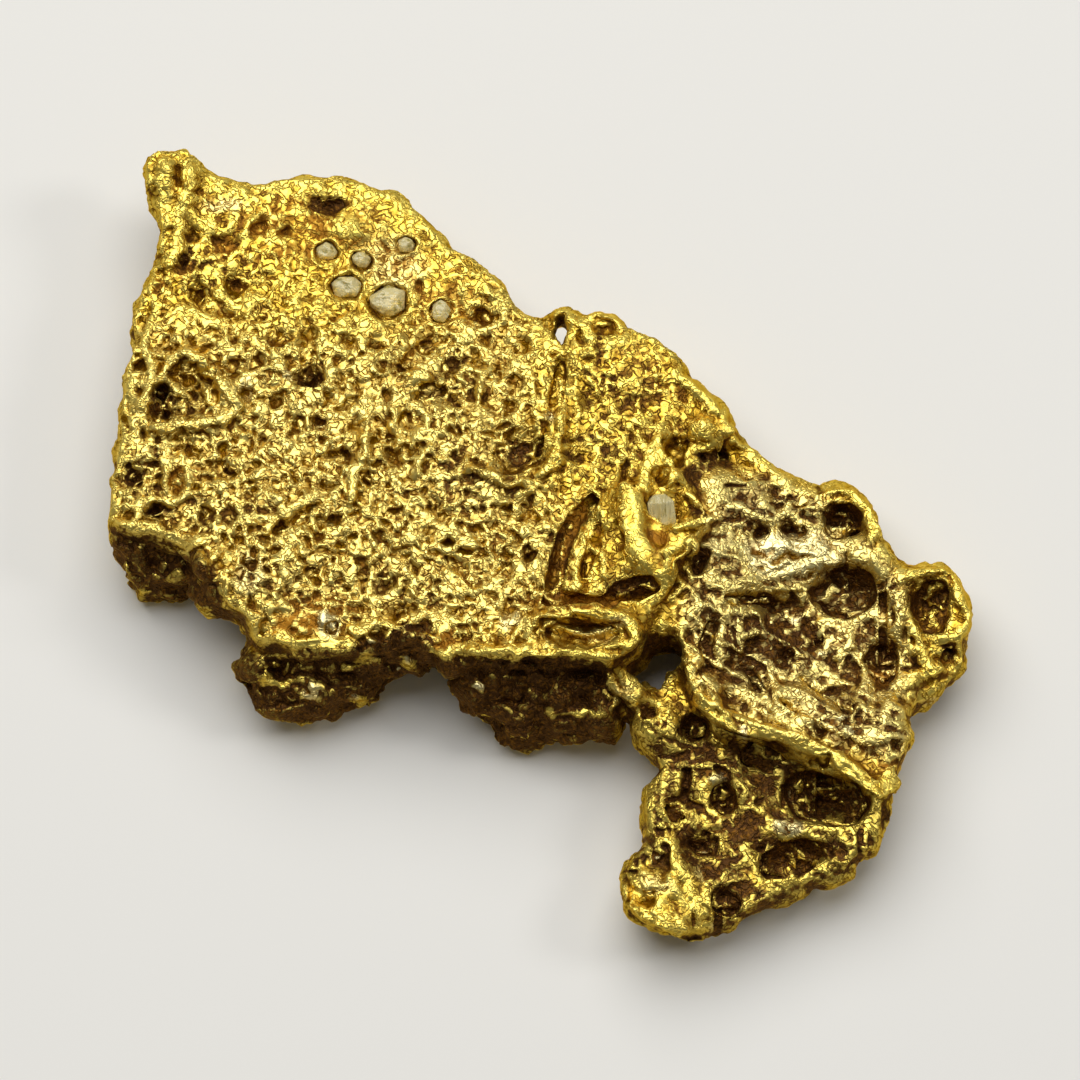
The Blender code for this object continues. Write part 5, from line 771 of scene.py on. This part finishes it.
def relief_map(skin, depth):
    """How far each place of the skin stands out towards the eye, in millimetres, and how far it is painted
    lighter, as wear and painted highlight.

    The sponge, the broken plates and the strands come first, each where the skin has them. The named pits
    cut into that, and the ridges and knobs are raised over it. Heights h over 0 level off softly: they become
    the highest times the hyperbolic tangent of h over the highest.
    """
    places = (skin.bent_u, skin.bent_v)
    smooth = film_map(skin, SMOOTH)
    rubble = skin.within(RUBBLE, 0.3) * (1.0 - 0.5 * smooth)
    tail = skin.within(TAIL, 0.3) * (1.0 - 0.5 * smooth)
    broken = np.maximum(rubble, tail)
    beads = cloud(places, 0.30, SEED + 90)
    height, wear_and_highlight = sponge_relief(skin, places, smooth, skin.within(SPONGE, 0.3), broken, beads)
    size, high = RUBBLE_PLATES
    tail_size, tail_high = TAIL_PLATES
    tail_plates = tail * tail_high * shards(skin, tail_size, SEED + 2)
    height += rubble * high * shards(skin, size, SEED + 2) + tail_plates
    size, high = SMALL_PLATES
    height += high * (tail + rubble) * shards(skin, size, SEED + 4)
    strands = strands_over(places) * np.maximum(rubble, 0.7 * tail)
    height += STRANDS[1] * strands
    wear_and_highlight = np.maximum(wear_and_highlight, 0.8 * strands)
    size, high = LUMP_PLATES
    nodule_size, nodule_high = LUMP_NODULES
    lumps = nodule_high * (nodules(places, nodule_size, SEED + 66) - 0.6)
    height += skin.within(LUMPS, 0.12) * (high * shards(skin, size, SEED + 3) + lumps)
    height *= depth
    carve(skin, height, places, rubble, broken)
    build_up(skin, height, wear_and_highlight, beads)
    height = np.minimum(height, 0.0) + HIGHEST * np.tanh(np.maximum(height, 0.0) / HIGHEST)
    return blurred(height, LAST_BLUR), wear_and_highlight


def evaluated_mesh(item):
    """The object's mesh with its modifiers applied."""
    bpy.context.view_layer.update()
    return bpy.data.meshes.new_from_object(item.evaluated_get(bpy.context.evaluated_depsgraph_get()))


def applied(mesh, *modifiers, kept=None):
    """A mesh after modifiers, each given as a kind and its settings. The kept corners are put in a group."""
    item = bpy.data.objects.new("work", mesh)
    bpy.context.scene.collection.objects.link(item)
    if kept is not None:
        item.vertex_groups.new(name="kept").add(np.flatnonzero(kept).tolist(), 1.0, "REPLACE")
    for kind, settings in modifiers:
        modifier = item.modifiers.new(kind, kind)
        for name, value in settings.items():
            setattr(modifier, name, value)
    made = evaluated_mesh(item)
    bpy.data.objects.remove(item)
    bpy.data.meshes.remove(mesh)
    return made


def merged_copy(node, scale):
    """A scaled copy of a solid's mesh with its corners merged."""
    mesh = bpy.data.meshes.new(node.name + "_copy")
    shape = bmesh.new()
    shape.from_mesh(node.data)
    bmesh.ops.remove_doubles(shape, verts=shape.verts, dist=0.000001)
    shape.to_mesh(mesh)
    shape.free()
    mesh.transform(Matrix.Scale(scale, 4))
    return mesh


def vectors_of(items, name):
    """One vector for each corner or face of a mesh, as rows of three numbers."""
    values = np.empty(len(items) * 3, np.float32)
    items.foreach_get(name, values)
    return values.reshape(-1, 3).astype(float)


def corners_of(mesh):
    """The places of a mesh's corners."""
    return vectors_of(mesh.vertices, "co")


def directions_of(mesh):
    """The direction that the skin faces at each of its corners."""
    return vectors_of(mesh.vertex_normals, "vector")


def move_corners(mesh, points):
    """The mesh's corners put at new places."""
    mesh.vertices.foreach_set("co", points.astype(np.float32).ravel())
    mesh.update()


def put_value(mesh, name, values):
    """One number a corner, kept in the mesh under a name."""
    made = mesh.attributes.new(name, "FLOAT", "POINT")
    made.data.foreach_set("value", values.astype(np.float32))


def hollowness(mesh, rounds):
    """How far each corner lies under the skin around it in millimetres: over 0 in pits, under 0 on crests."""
    soft = applied(mesh.copy(), ("SMOOTH", {"factor": 0.5, "iterations": rounds}))
    points = corners_of(mesh)
    gap = np.einsum("ij,ij->i", corners_of(soft) - points, directions_of(mesh))
    bpy.data.meshes.remove(soft)
    return gap


def placed(name, mesh):
    """A smooth-shaded mesh made in millimetres, as an object of the scene in metres."""
    mesh.transform(Matrix.Scale(MM, 4))
    mesh.polygons.foreach_set("use_smooth", np.ones(len(mesh.polygons), bool))
    piece = bpy.data.objects.new(name, mesh)
    bpy.context.scene.collection.objects.link(piece)
    return piece


def seen(points):
    """The (u, v) at which points, in millimetres, are seen."""
    v = (points[:, 1] - ORIGIN_SHIFT[1]) * SLOPE_SCALE + points[:, 2] * HEIGHT_SHIFT
    return np.stack((points[:, 0] - ORIGIN_SHIFT[0], v), 1)


def add(tree, kind, settings=None, out=0, **inputs):
    """The output of a new shader node with its settings, its inputs given as other outputs or values."""
    made = tree.nodes.new("ShaderNode" + kind)
    for name, value in (settings or {}).items():
        setattr(made, name, value)
    for name, value in inputs.items():
        place = int(name[2:]) if name.startswith("in") and name[2:].isdigit() else name.replace("_", " ")
        socket = made.inputs[place]
        if isinstance(value, bpy.types.NodeSocket):
            tree.links.new(value, socket)
        else:
            socket.default_value = value
    return made.outputs[out]


# Settings that the shader nodes share, and the numbers that the gold's corners carry for its colours
SMOOTH_STEP = {"interpolation_type": "SMOOTHSTEP"}
MULTIPLY = {"operation": "MULTIPLY"}
ADD = {"operation": "ADD"}
SUBTRACT = {"operation": "SUBTRACT"}
SIZE_OF = {"operation": "ABSOLUTE"}
MULTIPLY_ADD = {"operation": "MULTIPLY_ADD"}
SHARE_ADD = {"operation": "MULTIPLY_ADD", "use_clamp": True}
LARGEST = {"operation": "MAXIMUM"}
COLOURS = {"data_type": "RGBA"}
MIXED_COLOUR = 2
EDGE_TINT = "FFD88C"
SKIN_VALUES = ("hollow", "sponge", "patina", "stain", "pale", "wear_and_highlight", "slope_shade")


def laid_over(tree, share, under, over):
    """A colour laid over another by a share from 0 to 1, each the output of a node or an even colour."""
    pair = [part if isinstance(part, bpy.types.NodeSocket) else rgba(part) for part in (under, over)]
    return add(tree, "Mix", COLOURS, MIXED_COLOUR, in0=share, in6=pair[0], in7=pair[1])


def new_material(name):
    """A material, its node tree and its shader."""
    material = bpy.data.materials.new(name)
    material.use_nodes = True
    tree = material.node_tree
    return material, tree, tree.nodes["Principled BSDF"]


def gold_material(settings):
    """Natural gold, about 22 carat, pressed and etched by the river gravel it grew in.

    Its crests and ridges are painted lighter, partly as wear and partly as painted highlight. The gaps
    of its fine sponge of nodules, its hollows and its sloping faces are painted a darker olive, partly
    tarnish and partly painted shade. A dull film lies in its hollows, dark brown and red-brown where iron
    stains them; over the dark lumps and the sides that film is partly painted shade.
    """
    material, tree, shader = new_material("natural gold")
    place = add(tree, "TexCoord", out="Object")
    place = add(tree, "VectorMath", {"operation": "SCALE"}, in0=place, Scale=1.0 / MM)
    hollow, sponge, patina, stain, pale, wear_and_highlight, slope_shade = (
        add(tree, "Attribute", {"attribute_name": name}, "Fac") for name in SKIN_VALUES)
    # the sponge's fine nodules, 0.3 mm wide: thin gaps of painted shade run where the noise crosses its
    # middle
    worm = add(tree, "TexNoise", None, "Fac", Vector=place, Scale=3.4, Detail=1.0, Roughness=0.4,
               Distortion=0.5)
    worm = add(tree, "Math", SUBTRACT, in0=worm, in1=0.5)
    worm = add(tree, "Math", SIZE_OF, in0=worm)
    back = add(tree, "MapRange", SMOOTH_STEP, Value=worm, From_Min=0.0, From_Max=0.09)
    gap = add(tree, "Math", SUBTRACT, in0=1.0, in1=back)
    gap = add(tree, "Math", MULTIPLY, in0=gap, in1=sponge)
    # the finest grain of the metal, 0.15 mm wide, and patches of 1 mm in which its colour drifts
    grain = add(tree, "TexNoise", None, "Fac", Vector=place, Scale=6.5, Detail=2.0, Roughness=0.55)
    patch = add(tree, "TexNoise", None, "Fac", Vector=place, Scale=1.1, Detail=3.0, Roughness=0.6)
    # painted highlight and shade: crests lighter (partly wear); hollows, gaps and slopes darker (partly
    # tarnish)
    deep = add(tree, "MapRange", SMOOTH_STEP, Value=hollow, From_Min=-0.02, From_Max=0.085)
    deep = add(tree, "Math", SHARE_ADD, in0=gap, in1=0.55, in2=deep)
    deep = add(tree, "Math", SHARE_ADD, in0=wear_and_highlight, in1=-0.5, in2=deep)
    # painted shade: the slopes that tilt away from up are painted darker
    deep = add(tree, "Math", SHARE_ADD, in0=slope_shade, in1=0.45, in2=deep)
    crest = add(tree, "MapRange", SMOOTH_STEP, Value=hollow, From_Min=0.0, From_Max=-0.05)
    crest = add(tree, "Math", LARGEST, in0=crest, in1=wear_and_highlight)
    wear_and_highlight_share = add(tree, "Math", SHARE_ADD, in0=crest, in1=0.6, in2=patch)
    colour = laid_over(tree, wear_and_highlight_share, settings.gold_colour, settings.wear_and_highlight_colour)
    colour = laid_over(tree, pale, colour, settings.pale_colour)
    colour = laid_over(tree, deep, colour, settings.tarnish_and_shade_colour)
    # the red-brown stain and dark film break up in patches, rub off the crests and thicken in painted shade
    spotty = add(tree, "Math", MULTIPLY_ADD, in0=grain, in1=0.7, in2=-0.35)
    spotty = add(tree, "Math", MULTIPLY_ADD, in0=patch, in1=0.9, in2=spotty)
    spotty = add(tree, "Math", MULTIPLY_ADD, in0=crest, in1=-0.45, in2=spotty)
    spotty = add(tree, "Math", MULTIPLY_ADD, in0=deep, in1=0.32, in2=spotty)
    rusty = add(tree, "Math", ADD, in0=spotty, in1=stain)
    rusty = add(tree, "MapRange", SMOOTH_STEP, Value=rusty, From_Min=0.55, From_Max=1.05)
    film_and_shade_share = add(tree, "Math", ADD, in0=spotty, in1=patina)
    film_and_shade_share = add(tree, "MapRange", SMOOTH_STEP, Value=film_and_shade_share, From_Min=0.55, From_Max=1.10)
    colour = laid_over(tree, rusty, colour, settings.stain_colour)
    ochre = add(tree, "MapRange", SMOOTH_STEP, Value=grain, From_Min=0.46, From_Max=0.68, To_Min=0.0,
                To_Max=0.42)
    # the dark film is partly real and partly painted shade, laid over the dark lumps and the sides
    film = laid_over(tree, ochre, settings.film_and_shade_colour, settings.stain_colour)
    colour = laid_over(tree, film_and_shade_share, colour, film)
    tree.links.new(colour, shader.inputs["Base Color"])
    # a warm tint where the metal is seen edge-on, and a duller face where the film lies
    shader.inputs["Specular Tint"].default_value = rgba(linear(EDGE_TINT))
    dull = add(tree, "Math", LARGEST, in0=film_and_shade_share, in1=rusty)
    metal = add(tree, "MapRange", None, Value=dull, From_Min=0.0, From_Max=1.0, To_Min=1.0, To_Max=0.8)
    tree.links.new(metal, shader.inputs["Metallic"])
    rough = add(tree, "Math", LARGEST, in0=dull, in1=deep)
    rough = add(tree, "MapRange", None, Value=rough, From_Min=0.0, From_Max=1.0, To_Min=0.36, To_Max=0.55)
    tree.links.new(rough, shader.inputs["Roughness"])
    # relief finer than the mesh: the nodules where the skin is spongy, the grain all over
    rise = add(tree, "Math", MULTIPLY, in0=back, in1=sponge)
    rise = add(tree, "Math", MULTIPLY_ADD, in0=grain, in1=0.5, in2=rise)
    bump = add(tree, "Bump", None, "Normal", Strength=1.0, Distance=settings.grain_depth, Height=rise)
    tree.links.new(bump, shader.inputs["Normal"])
    return material


def quartz_material(settings, name, clearness, stretch):
    """Vein quartz: glass-like, with a warm cast, a few milky veils and fine steps grown over its faces."""
    material, tree, shader = new_material(name)
    place = add(tree, "TexCoord", out="Object")
    # milky veils, 0.4 mm wide, and the fine steps, drawn out as the crystal grew
    veil = add(tree, "TexNoise", None, "Fac", Vector=place, Scale=2.6 / MM, Detail=4.0)
    cloudy = add(tree, "MapRange", SMOOTH_STEP, Value=veil, From_Min=0.4, From_Max=0.65)
    steps = add(tree, "VectorMath", MULTIPLY, in0=place, in1=tuple(share / MM for share in stretch))
    steps = add(tree, "TexNoise", None, "Fac", Vector=steps, Scale=1.0, Detail=2.0)
    tint = laid_over(tree, cloudy, settings.quartz_colour, settings.veil_colour)
    # painted shade: the low steps of the bump are darkened to the olive shade colour
    shaded = add(tree, "MapRange", SMOOTH_STEP, Value=steps, From_Min=0.47, From_Max=0.37)
    tint = laid_over(tree, shaded, tint, settings.shade_colour)
    tree.links.new(tint, shader.inputs["Base Color"])
    shader.inputs["IOR"].default_value = QUARTZ_IOR
    shader.inputs["Transmission Weight"].default_value = clearness
    rough = add(tree, "MapRange", None, Value=cloudy, From_Min=0.0, From_Max=1.0, To_Min=0.05, To_Max=0.35)
    tree.links.new(rough, shader.inputs["Roughness"])
    bump = add(tree, "Bump", None, "Normal", Strength=1.0, Distance=STEP_DEPTH * MM, Height=steps)
    tree.links.new(bump, shader.inputs["Normal"])
    return material


COLOUR = {"size": 3, "min": 0.0, "max": 1.0, "subtype": "COLOR"}


class NuggetSettings(bpy.types.PropertyGroup):
    """The sizes and colours of the nugget that a user would change"""

    relief: bpy.props.FloatProperty(
        name="Relief",
        description="How deep the sponge, the pits and the broken plates are worked, as a share",
        default=1.0, min=0.0, max=1.5)
    grain_depth: bpy.props.FloatProperty(
        name="Grain depth", description="How deep the finest nodules of the metal are",
        default=0.00005, min=0.0, max=0.0003, precision=6, unit="LENGTH")
    gold_colour: bpy.props.FloatVectorProperty(
        name="Gold", description="The deeper colour of the clean metal", default=linear("E4B024"), **COLOUR)
    # partly wear, partly painted highlight: laid over the crests, ridges, ropes and knobs
    wear_and_highlight_colour: bpy.props.FloatVectorProperty(
        name="Worn gold", description="The lighter colour of the clean metal",
        default=linear("FEE26A"), **COLOUR)
    pale_colour: bpy.props.FloatVectorProperty(
        name="Pale gold", description="The silvery colour of the right sheet and of the pale beads",
        default=linear("F0E2A6"), **COLOUR)
    # painted shade and tarnish: this olive is laid over the hollows, the gaps of the nodules and the sloping
    # faces
    tarnish_and_shade_colour: bpy.props.FloatVectorProperty(
        name="Hollows", description="The tarnished olive colour in the gaps and hollows",
        default=linear("845E04"), **COLOUR)
    # partly real film, partly painted shade: laid over the dark lumps under the edge and over the sides
    film_and_shade_colour: bpy.props.FloatVectorProperty(
        name="Film", description="The dark brown film in the low places", default=linear("4A2F17"), **COLOUR)
    stain_colour: bpy.props.FloatVectorProperty(
        name="Stain", description="The red-brown iron stain", default=linear("9C6A1E"), **COLOUR)
    quartz_colour: bpy.props.FloatVectorProperty(
        name="Quartz", description="The colour of the clear quartz", default=linear("F8E8A4"), **COLOUR)
    veil_colour: bpy.props.FloatVectorProperty(
        name="Quartz veils", description="The colour of the milky veils in the quartz",
        default=linear("FBEFB4"), **COLOUR)
    # painted shade in the low steps of the quartz
    shade_colour: bpy.props.FloatVectorProperty(
        name="Quartz shade", description="The olive colour in the low steps of the quartz",
        default=linear("B8AC62"), **COLOUR)
    floor_colour: bpy.props.FloatVectorProperty(
        name="Floor", description="The colour of the plain floor", default=linear("E4E2DC"), **COLOUR)
    light_power: bpy.props.FloatProperty(
        name="Light", description="The strength of the large soft light",
        default=2.8, min=0.0, max=20.0, unit="POWER")


def gold_surface(skin, relief, depth):
    """The gold's skin, in millimetres: the solid in fine voxels, relaxed, roughened, carved and thinned.

    Where the skin faces the eye, each corner moves along the line of sight by the relief at its (u, v).
    Where it turns away, it moves along its own direction by layered value noise, less so near the floor.
    """
    mesh = merged_copy(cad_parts["gold_nugget"], 1.0 / MM)
    remesh = {"mode": "VOXEL", "voxel_size": SKIN_VOXEL, "adaptivity": 0.0}
    relax = {"factor": SKIN_RELAX[0], "iterations": SKIN_RELAX[1]}
    mesh = applied(mesh, ("REMESH", remesh), ("SMOOTH", relax))
    even = {"factor": 0.5, "iterations": TOP_ROUNDS, "vertex_group": "kept"}
    mesh = applied(mesh, ("SMOOTH", even), kept=directions_of(mesh) @ TOWARDS_EYE > 0.6)
    even["iterations"] = LUMP_ROUNDS
    lumps = skin.within(LUMPS, 0.15)
    evened = skin.read(np.maximum(lumps, film_map(skin, CLOSED)), seen(corners_of(mesh)))
    mesh = applied(mesh, ("SMOOTH", even), kept=evened > 0.5)
    points, facets = corners_of(mesh), directions_of(mesh)
    facing = fade((facets @ TOWARDS_EYE - 0.15) / 0.45)
    lumpy = skin.read(lumps, seen(points))
    size, high = SIDE_CLOUDS
    grit_size, grit_high = SIDE_GRIT
    grit = grit_high * clouds(points.T, grit_size, SEED + 72, 2)
    rough = high * clouds(points.T, size, SEED + 70, 4) + grit
    size, high = SIDE_WORMS
    rough = (rough + high * (fade(np.abs(cloud(points.T, size, SEED + 74)) / 0.35) - 0.6)) * (1.0 + lumpy)
    size, high = SIDE_KNOBS
    knobs = high * lumpy * clouds(points.T, size, SEED + 76, 2)
    low = fade(points[:, 2] / 0.6) * depth
    points += (((1.0 - facing) * rough + knobs) * low)[:, None] * facets
    points += (skin.read(relief, seen(points)) * facing)[:, None] * TOWARDS_EYE
    move_corners(mesh, points)
    # the sides and the underside are thinned first, then the whole skin
    kept = (facing > 0.3) | ((lumpy > 0.5) & (facets @ TOWARDS_EYE > 0.0))
    thin = {"use_collapse_triangulate": True, "ratio": kept.mean() + SIDE_SHARE * (1.0 - kept.mean())}
    sides = {**thin, "vertex_group": "kept", "invert_vertex_group": True}
    mesh = applied(mesh, ("DECIMATE", sides), kept=kept)
    thin["ratio"] = SKIN_TRIANGLES / len(mesh.polygons)
    return applied(mesh, ("DECIMATE", thin))


def skin_values(skin, wear_and_highlight, mesh):
    """What the gold's colours follow, one number a corner: hollows, sponge, films that are partly painted
    shade, stains, pale metal, wear with painted highlight, and painted shade on slopes.

    Where the skin faces up they are read from the maps, and elsewhere they come from value noise.
    """
    points, facets = corners_of(mesh), directions_of(mesh)
    places = seen(points)
    facing = fade((facets @ TOWARDS_EYE + 0.2) / 0.4)
    away = 1.0 - facing
    mottled = clouds(points.T, 1.6, SEED + 80, 3)
    rubble = skin.within(RUBBLE, 0.3)
    sponge = np.maximum(skin.within(SPONGE, 0.3), 0.85) * (1.0 - 0.6 * film_map(skin, SMOOTH))
    sponge = sponge * (1.0 - 0.2 * wear_and_highlight)
    # painted shade: the dark lumps under the edge are nearly all covered by the dark film, less so the tail
    # and rubble
    film = 0.96 * skin.within(LUMPS, 0.12) + 0.65 * skin.within(TAIL, 0.25) + 0.40 * rubble
    film = film_map(skin, PATINA, film * (1.0 - film_map(skin, BARE)))
    pale = film_map(skin, PALE, 0.40 * rubble + 0.24 * skin.within(WORMY, 0.8))
    # round the quartz grains the hollows are not measured, so the painted shade and highlight leave them out
    haloes = [(u, v, 1.7 * reach, 1.7 * reach, 0.9) for u, v, reach in GRAIN_RIMS]
    clean = 1.0 - skin.read(film_map(skin, haloes), places)
    # painted shade: the dark film also covers the faces that tilt away from up
    painted_side_shade = 0.40 * fade((0.60 - facets[:, 2]) / 0.4)
    values = (
        hollowness(mesh, HOLLOW_ROUNDS) * clean,
        # on the sides turned from the eye the darker gaps of the sponge and the mottled dark film are painted
        # shade
        skin.read(sponge, places) * facing + 0.6 * away,
        np.maximum(skin.read(film, places), painted_side_shade) * facing + (0.30 + 0.26 * mottled) * away,
        skin.read(film_map(skin, STAIN), places) * facing + 0.2 * mottled * away,
        skin.read(pale, places) * facing,
        skin.read(wear_and_highlight * (1.0 - 0.75 * film), places) * facing,
        # painted shade on the slopes that tilt away from up
        fade((0.95 - facets[:, 2]) / 0.5) * facing,
    )
    return dict(zip(SKIN_VALUES, values))


class NUGGET_OT_gold(bpy.types.Operator):
    """Make the gold: a fine skin over the solid, with its pits and ridges"""

    bl_idname = "nugget.gold"
    bl_label = "Make the gold"

    def execute(self, context):
        """Make the skin, its colours' values and its material, and tie it to its solid."""
        settings = context.scene.nugget
        skin = SkinMap()
        relief, wear_and_highlight = relief_map(skin, settings.relief)
        mesh = gold_surface(skin, relief, settings.relief)
        for name, values in skin_values(skin, wear_and_highlight, mesh).items():
            put_value(mesh, name, values)
        mesh.name = "gold"
        mesh.materials.clear()
        mesh.materials.append(gold_material(settings))
        gold = placed("gold_skin", mesh)
        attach(gold, "root")
        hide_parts("gold_nugget")
        return {"FINISHED"}


def crystal_surface(node, around=96, along=49):
    """A node's convex shape on a grid of directions, with its edges softened.

    Each face i of the solid has a direction n and a distance d from the middle. In a direction w the surface
    lies at r = (sum of (max(0, n.w) / d) to the power p) to the power -1/p: the nearest face counts most, and
    p sets how crisp the edges are.
    """
    mesh = merged_copy(node, 1.0 / MM)
    points = corners_of(mesh)
    middle = (points.max(0) + points.min(0)) / 2.0
    faces = vectors_of(mesh.polygons, "normal")
    gaps = np.einsum("ij,ij->i", faces, vectors_of(mesh.polygons, "center") - middle)
    planes = np.unique(np.round(np.column_stack((faces, gaps)), 3), axis=0)
    turn = np.linspace(0.0, 2.0 * math.pi, around, endpoint=False)
    rise = np.linspace(-math.pi / 2.0, math.pi / 2.0, along)
    turn, rise = np.meshgrid(turn, rise)
    ways = np.stack((np.cos(turn) * np.cos(rise), np.sin(turn) * np.cos(rise), np.sin(rise)), -1)
    share = np.clip(ways @ planes[:, :3].T, 0.0, None) / planes[:, 3]
    reach = (share**CRYSTAL_EDGE).sum(-1) ** (-1.0 / CRYSTAL_EDGE)
    return middle + ways * reach[..., None]


def grid_mesh(name, surface):
    """A closed mesh from a grid of points whose rows go round and whose first and last rows are poles."""
    rows, columns = surface.shape[:2]
    points = np.concatenate((surface[0, :1], surface[1:-1].reshape(-1, 3), surface[-1, :1]))
    first = 1 + np.arange((rows - 3) * columns).reshape(rows - 3, columns)
    after = first - np.arange(columns) % columns + (np.arange(columns) + 1) % columns
    sides = np.stack((first, after, after + columns, first + columns), -1).reshape(-1, 4)
    ring, following = 1 + np.arange(columns), 1 + (np.arange(columns) + 1) % columns
    under = np.stack((np.zeros(columns, int), following, ring), -1)
    top = (rows - 3) * columns
    over = np.stack((np.full(columns, len(points) - 1), ring + top, following + top), -1)
    mesh = bpy.data.meshes.new(name)
    mesh.from_pydata(points.tolist(), [], sides.tolist() + under.tolist() + over.tolist())
    mesh.validate()
    return mesh


class NUGGET_OT_quartz(bpy.types.Operator):
    """Make the quartz: the striated crystal and the grains, each in its socket"""

    bl_idname = "nugget.quartz"
    bl_label = "Make the quartz"

    def execute(self, context):
        """Make each crystal and its material, and tie it to its solid."""
        settings = context.scene.nugget
        striated = quartz_material(settings, "striated quartz", *STRIATED)
        clear = quartz_material(settings, "clear quartz", *CLEAR)
        for name in QUARTZ_NODES:
            mesh = grid_mesh(name, crystal_surface(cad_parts[name]))
            mesh.materials.append(striated if name == QUARTZ_NODES[0] else clear)
            piece = placed(name.replace("quartz", "clear"), mesh)
            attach(piece, "root")
            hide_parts(name)
        return {"FINISHED"}


class NUGGET_OT_stage(bpy.types.Operator):
    """Make the floor, the lights and the camera"""

    bl_idname = "nugget.stage"
    bl_label = "Make the stage"

    def execute(self, context):
        """Make the floor and its paper, the soft light round it, the two lamps and the camera."""
        scene = context.scene
        settings = scene.nugget
        mesh = bpy.data.meshes.new("floor")
        low, high = -FLOOR_HALF, FLOOR_HALF
        mesh.from_pydata([(low, low, 0), (high, low, 0), (high, high, 0), (low, high, 0)], [], [(0, 1, 2, 3)])
        floor = bpy.data.objects.new("floor", mesh)
        scene.collection.objects.link(floor)
        material, tree, shader = new_material("matte paper")
        shader.inputs["Base Color"].default_value = rgba(settings.floor_colour)
        shader.inputs["Roughness"].default_value = FLOOR_ROUGHNESS
        mesh.materials.append(material)
        world = bpy.data.worlds.new("studio")
        world.use_nodes = True
        sky = world.node_tree.nodes["Background"]
        sky.inputs["Color"].default_value = rgba(linear(WORLD_COLOUR))
        sky.inputs["Strength"].default_value = WORLD_STRENGTH
        scene.world = world
        scene.view_settings.view_transform = "Standard"
        target = Vector(CAMERA_TARGET) * MM
        for name, place, size, share in LIGHTS:
            light = bpy.data.lights.new(name, "AREA")
            light.shape = "DISK"
            light.size = size
            light.energy = share * settings.light_power
            lamp = bpy.data.objects.new(name, light)
            lamp.location = place
            lamp.rotation_euler = (target - Vector(place)).to_track_quat("-Z", "Y").to_euler()
            scene.collection.objects.link(lamp)
        camera = bpy.data.cameras.new("camera")
        camera.lens = CAMERA_LENS
        camera.sensor_width = CAMERA_SENSOR
        camera.clip_start, camera.clip_end = CLIPPING
        eye = bpy.data.objects.new("camera", camera)
        back = Vector(tuple(TOWARDS_EYE))
        eye.location = target + back * (VIEW_WIDTH / CAMERA_SENSOR * CAMERA_LENS * MM)
        eye.rotation_euler = (-back).to_track_quat("-Z", "Y").to_euler()
        scene.collection.objects.link(eye)
        scene.camera = eye
        return {"FINISHED"}


class NUGGET_PT_panel(bpy.types.Panel):
    """The nugget's pieces and what can be changed about them"""

    bl_idname = "NUGGET_PT_panel"
    bl_label = "Gold nugget"
    bl_space_type = "VIEW_3D"
    bl_region_type = "UI"
    bl_category = "Nugget"

    def draw(self, context):
        """Show the settings, then a button for each step."""
        for name in NuggetSettings.__annotations__:
            self.layout.prop(context.scene.nugget, name)
        for piece in (NUGGET_OT_gold, NUGGET_OT_quartz, NUGGET_OT_stage):
            self.layout.operator(piece.bl_idname)


CLASSES = (NuggetSettings, NUGGET_OT_gold, NUGGET_OT_quartz, NUGGET_OT_stage, NUGGET_PT_panel)


def register():
    """Add the operators, the panel and the nugget's settings to Blender."""
    for item in CLASSES:
        bpy.utils.register_class(item)
    bpy.types.Scene.nugget = bpy.props.PointerProperty(type=NuggetSettings)


def unregister():
    """Take them out again."""
    del bpy.types.Scene.nugget
    for item in reversed(CLASSES):
        bpy.utils.unregister_class(item)


def main():
    """Make the pieces and the stage."""
    register()
    bpy.ops.nugget.gold()
    bpy.ops.nugget.quartz()
    bpy.ops.nugget.stage()


if __name__ == "__main__":
    main()
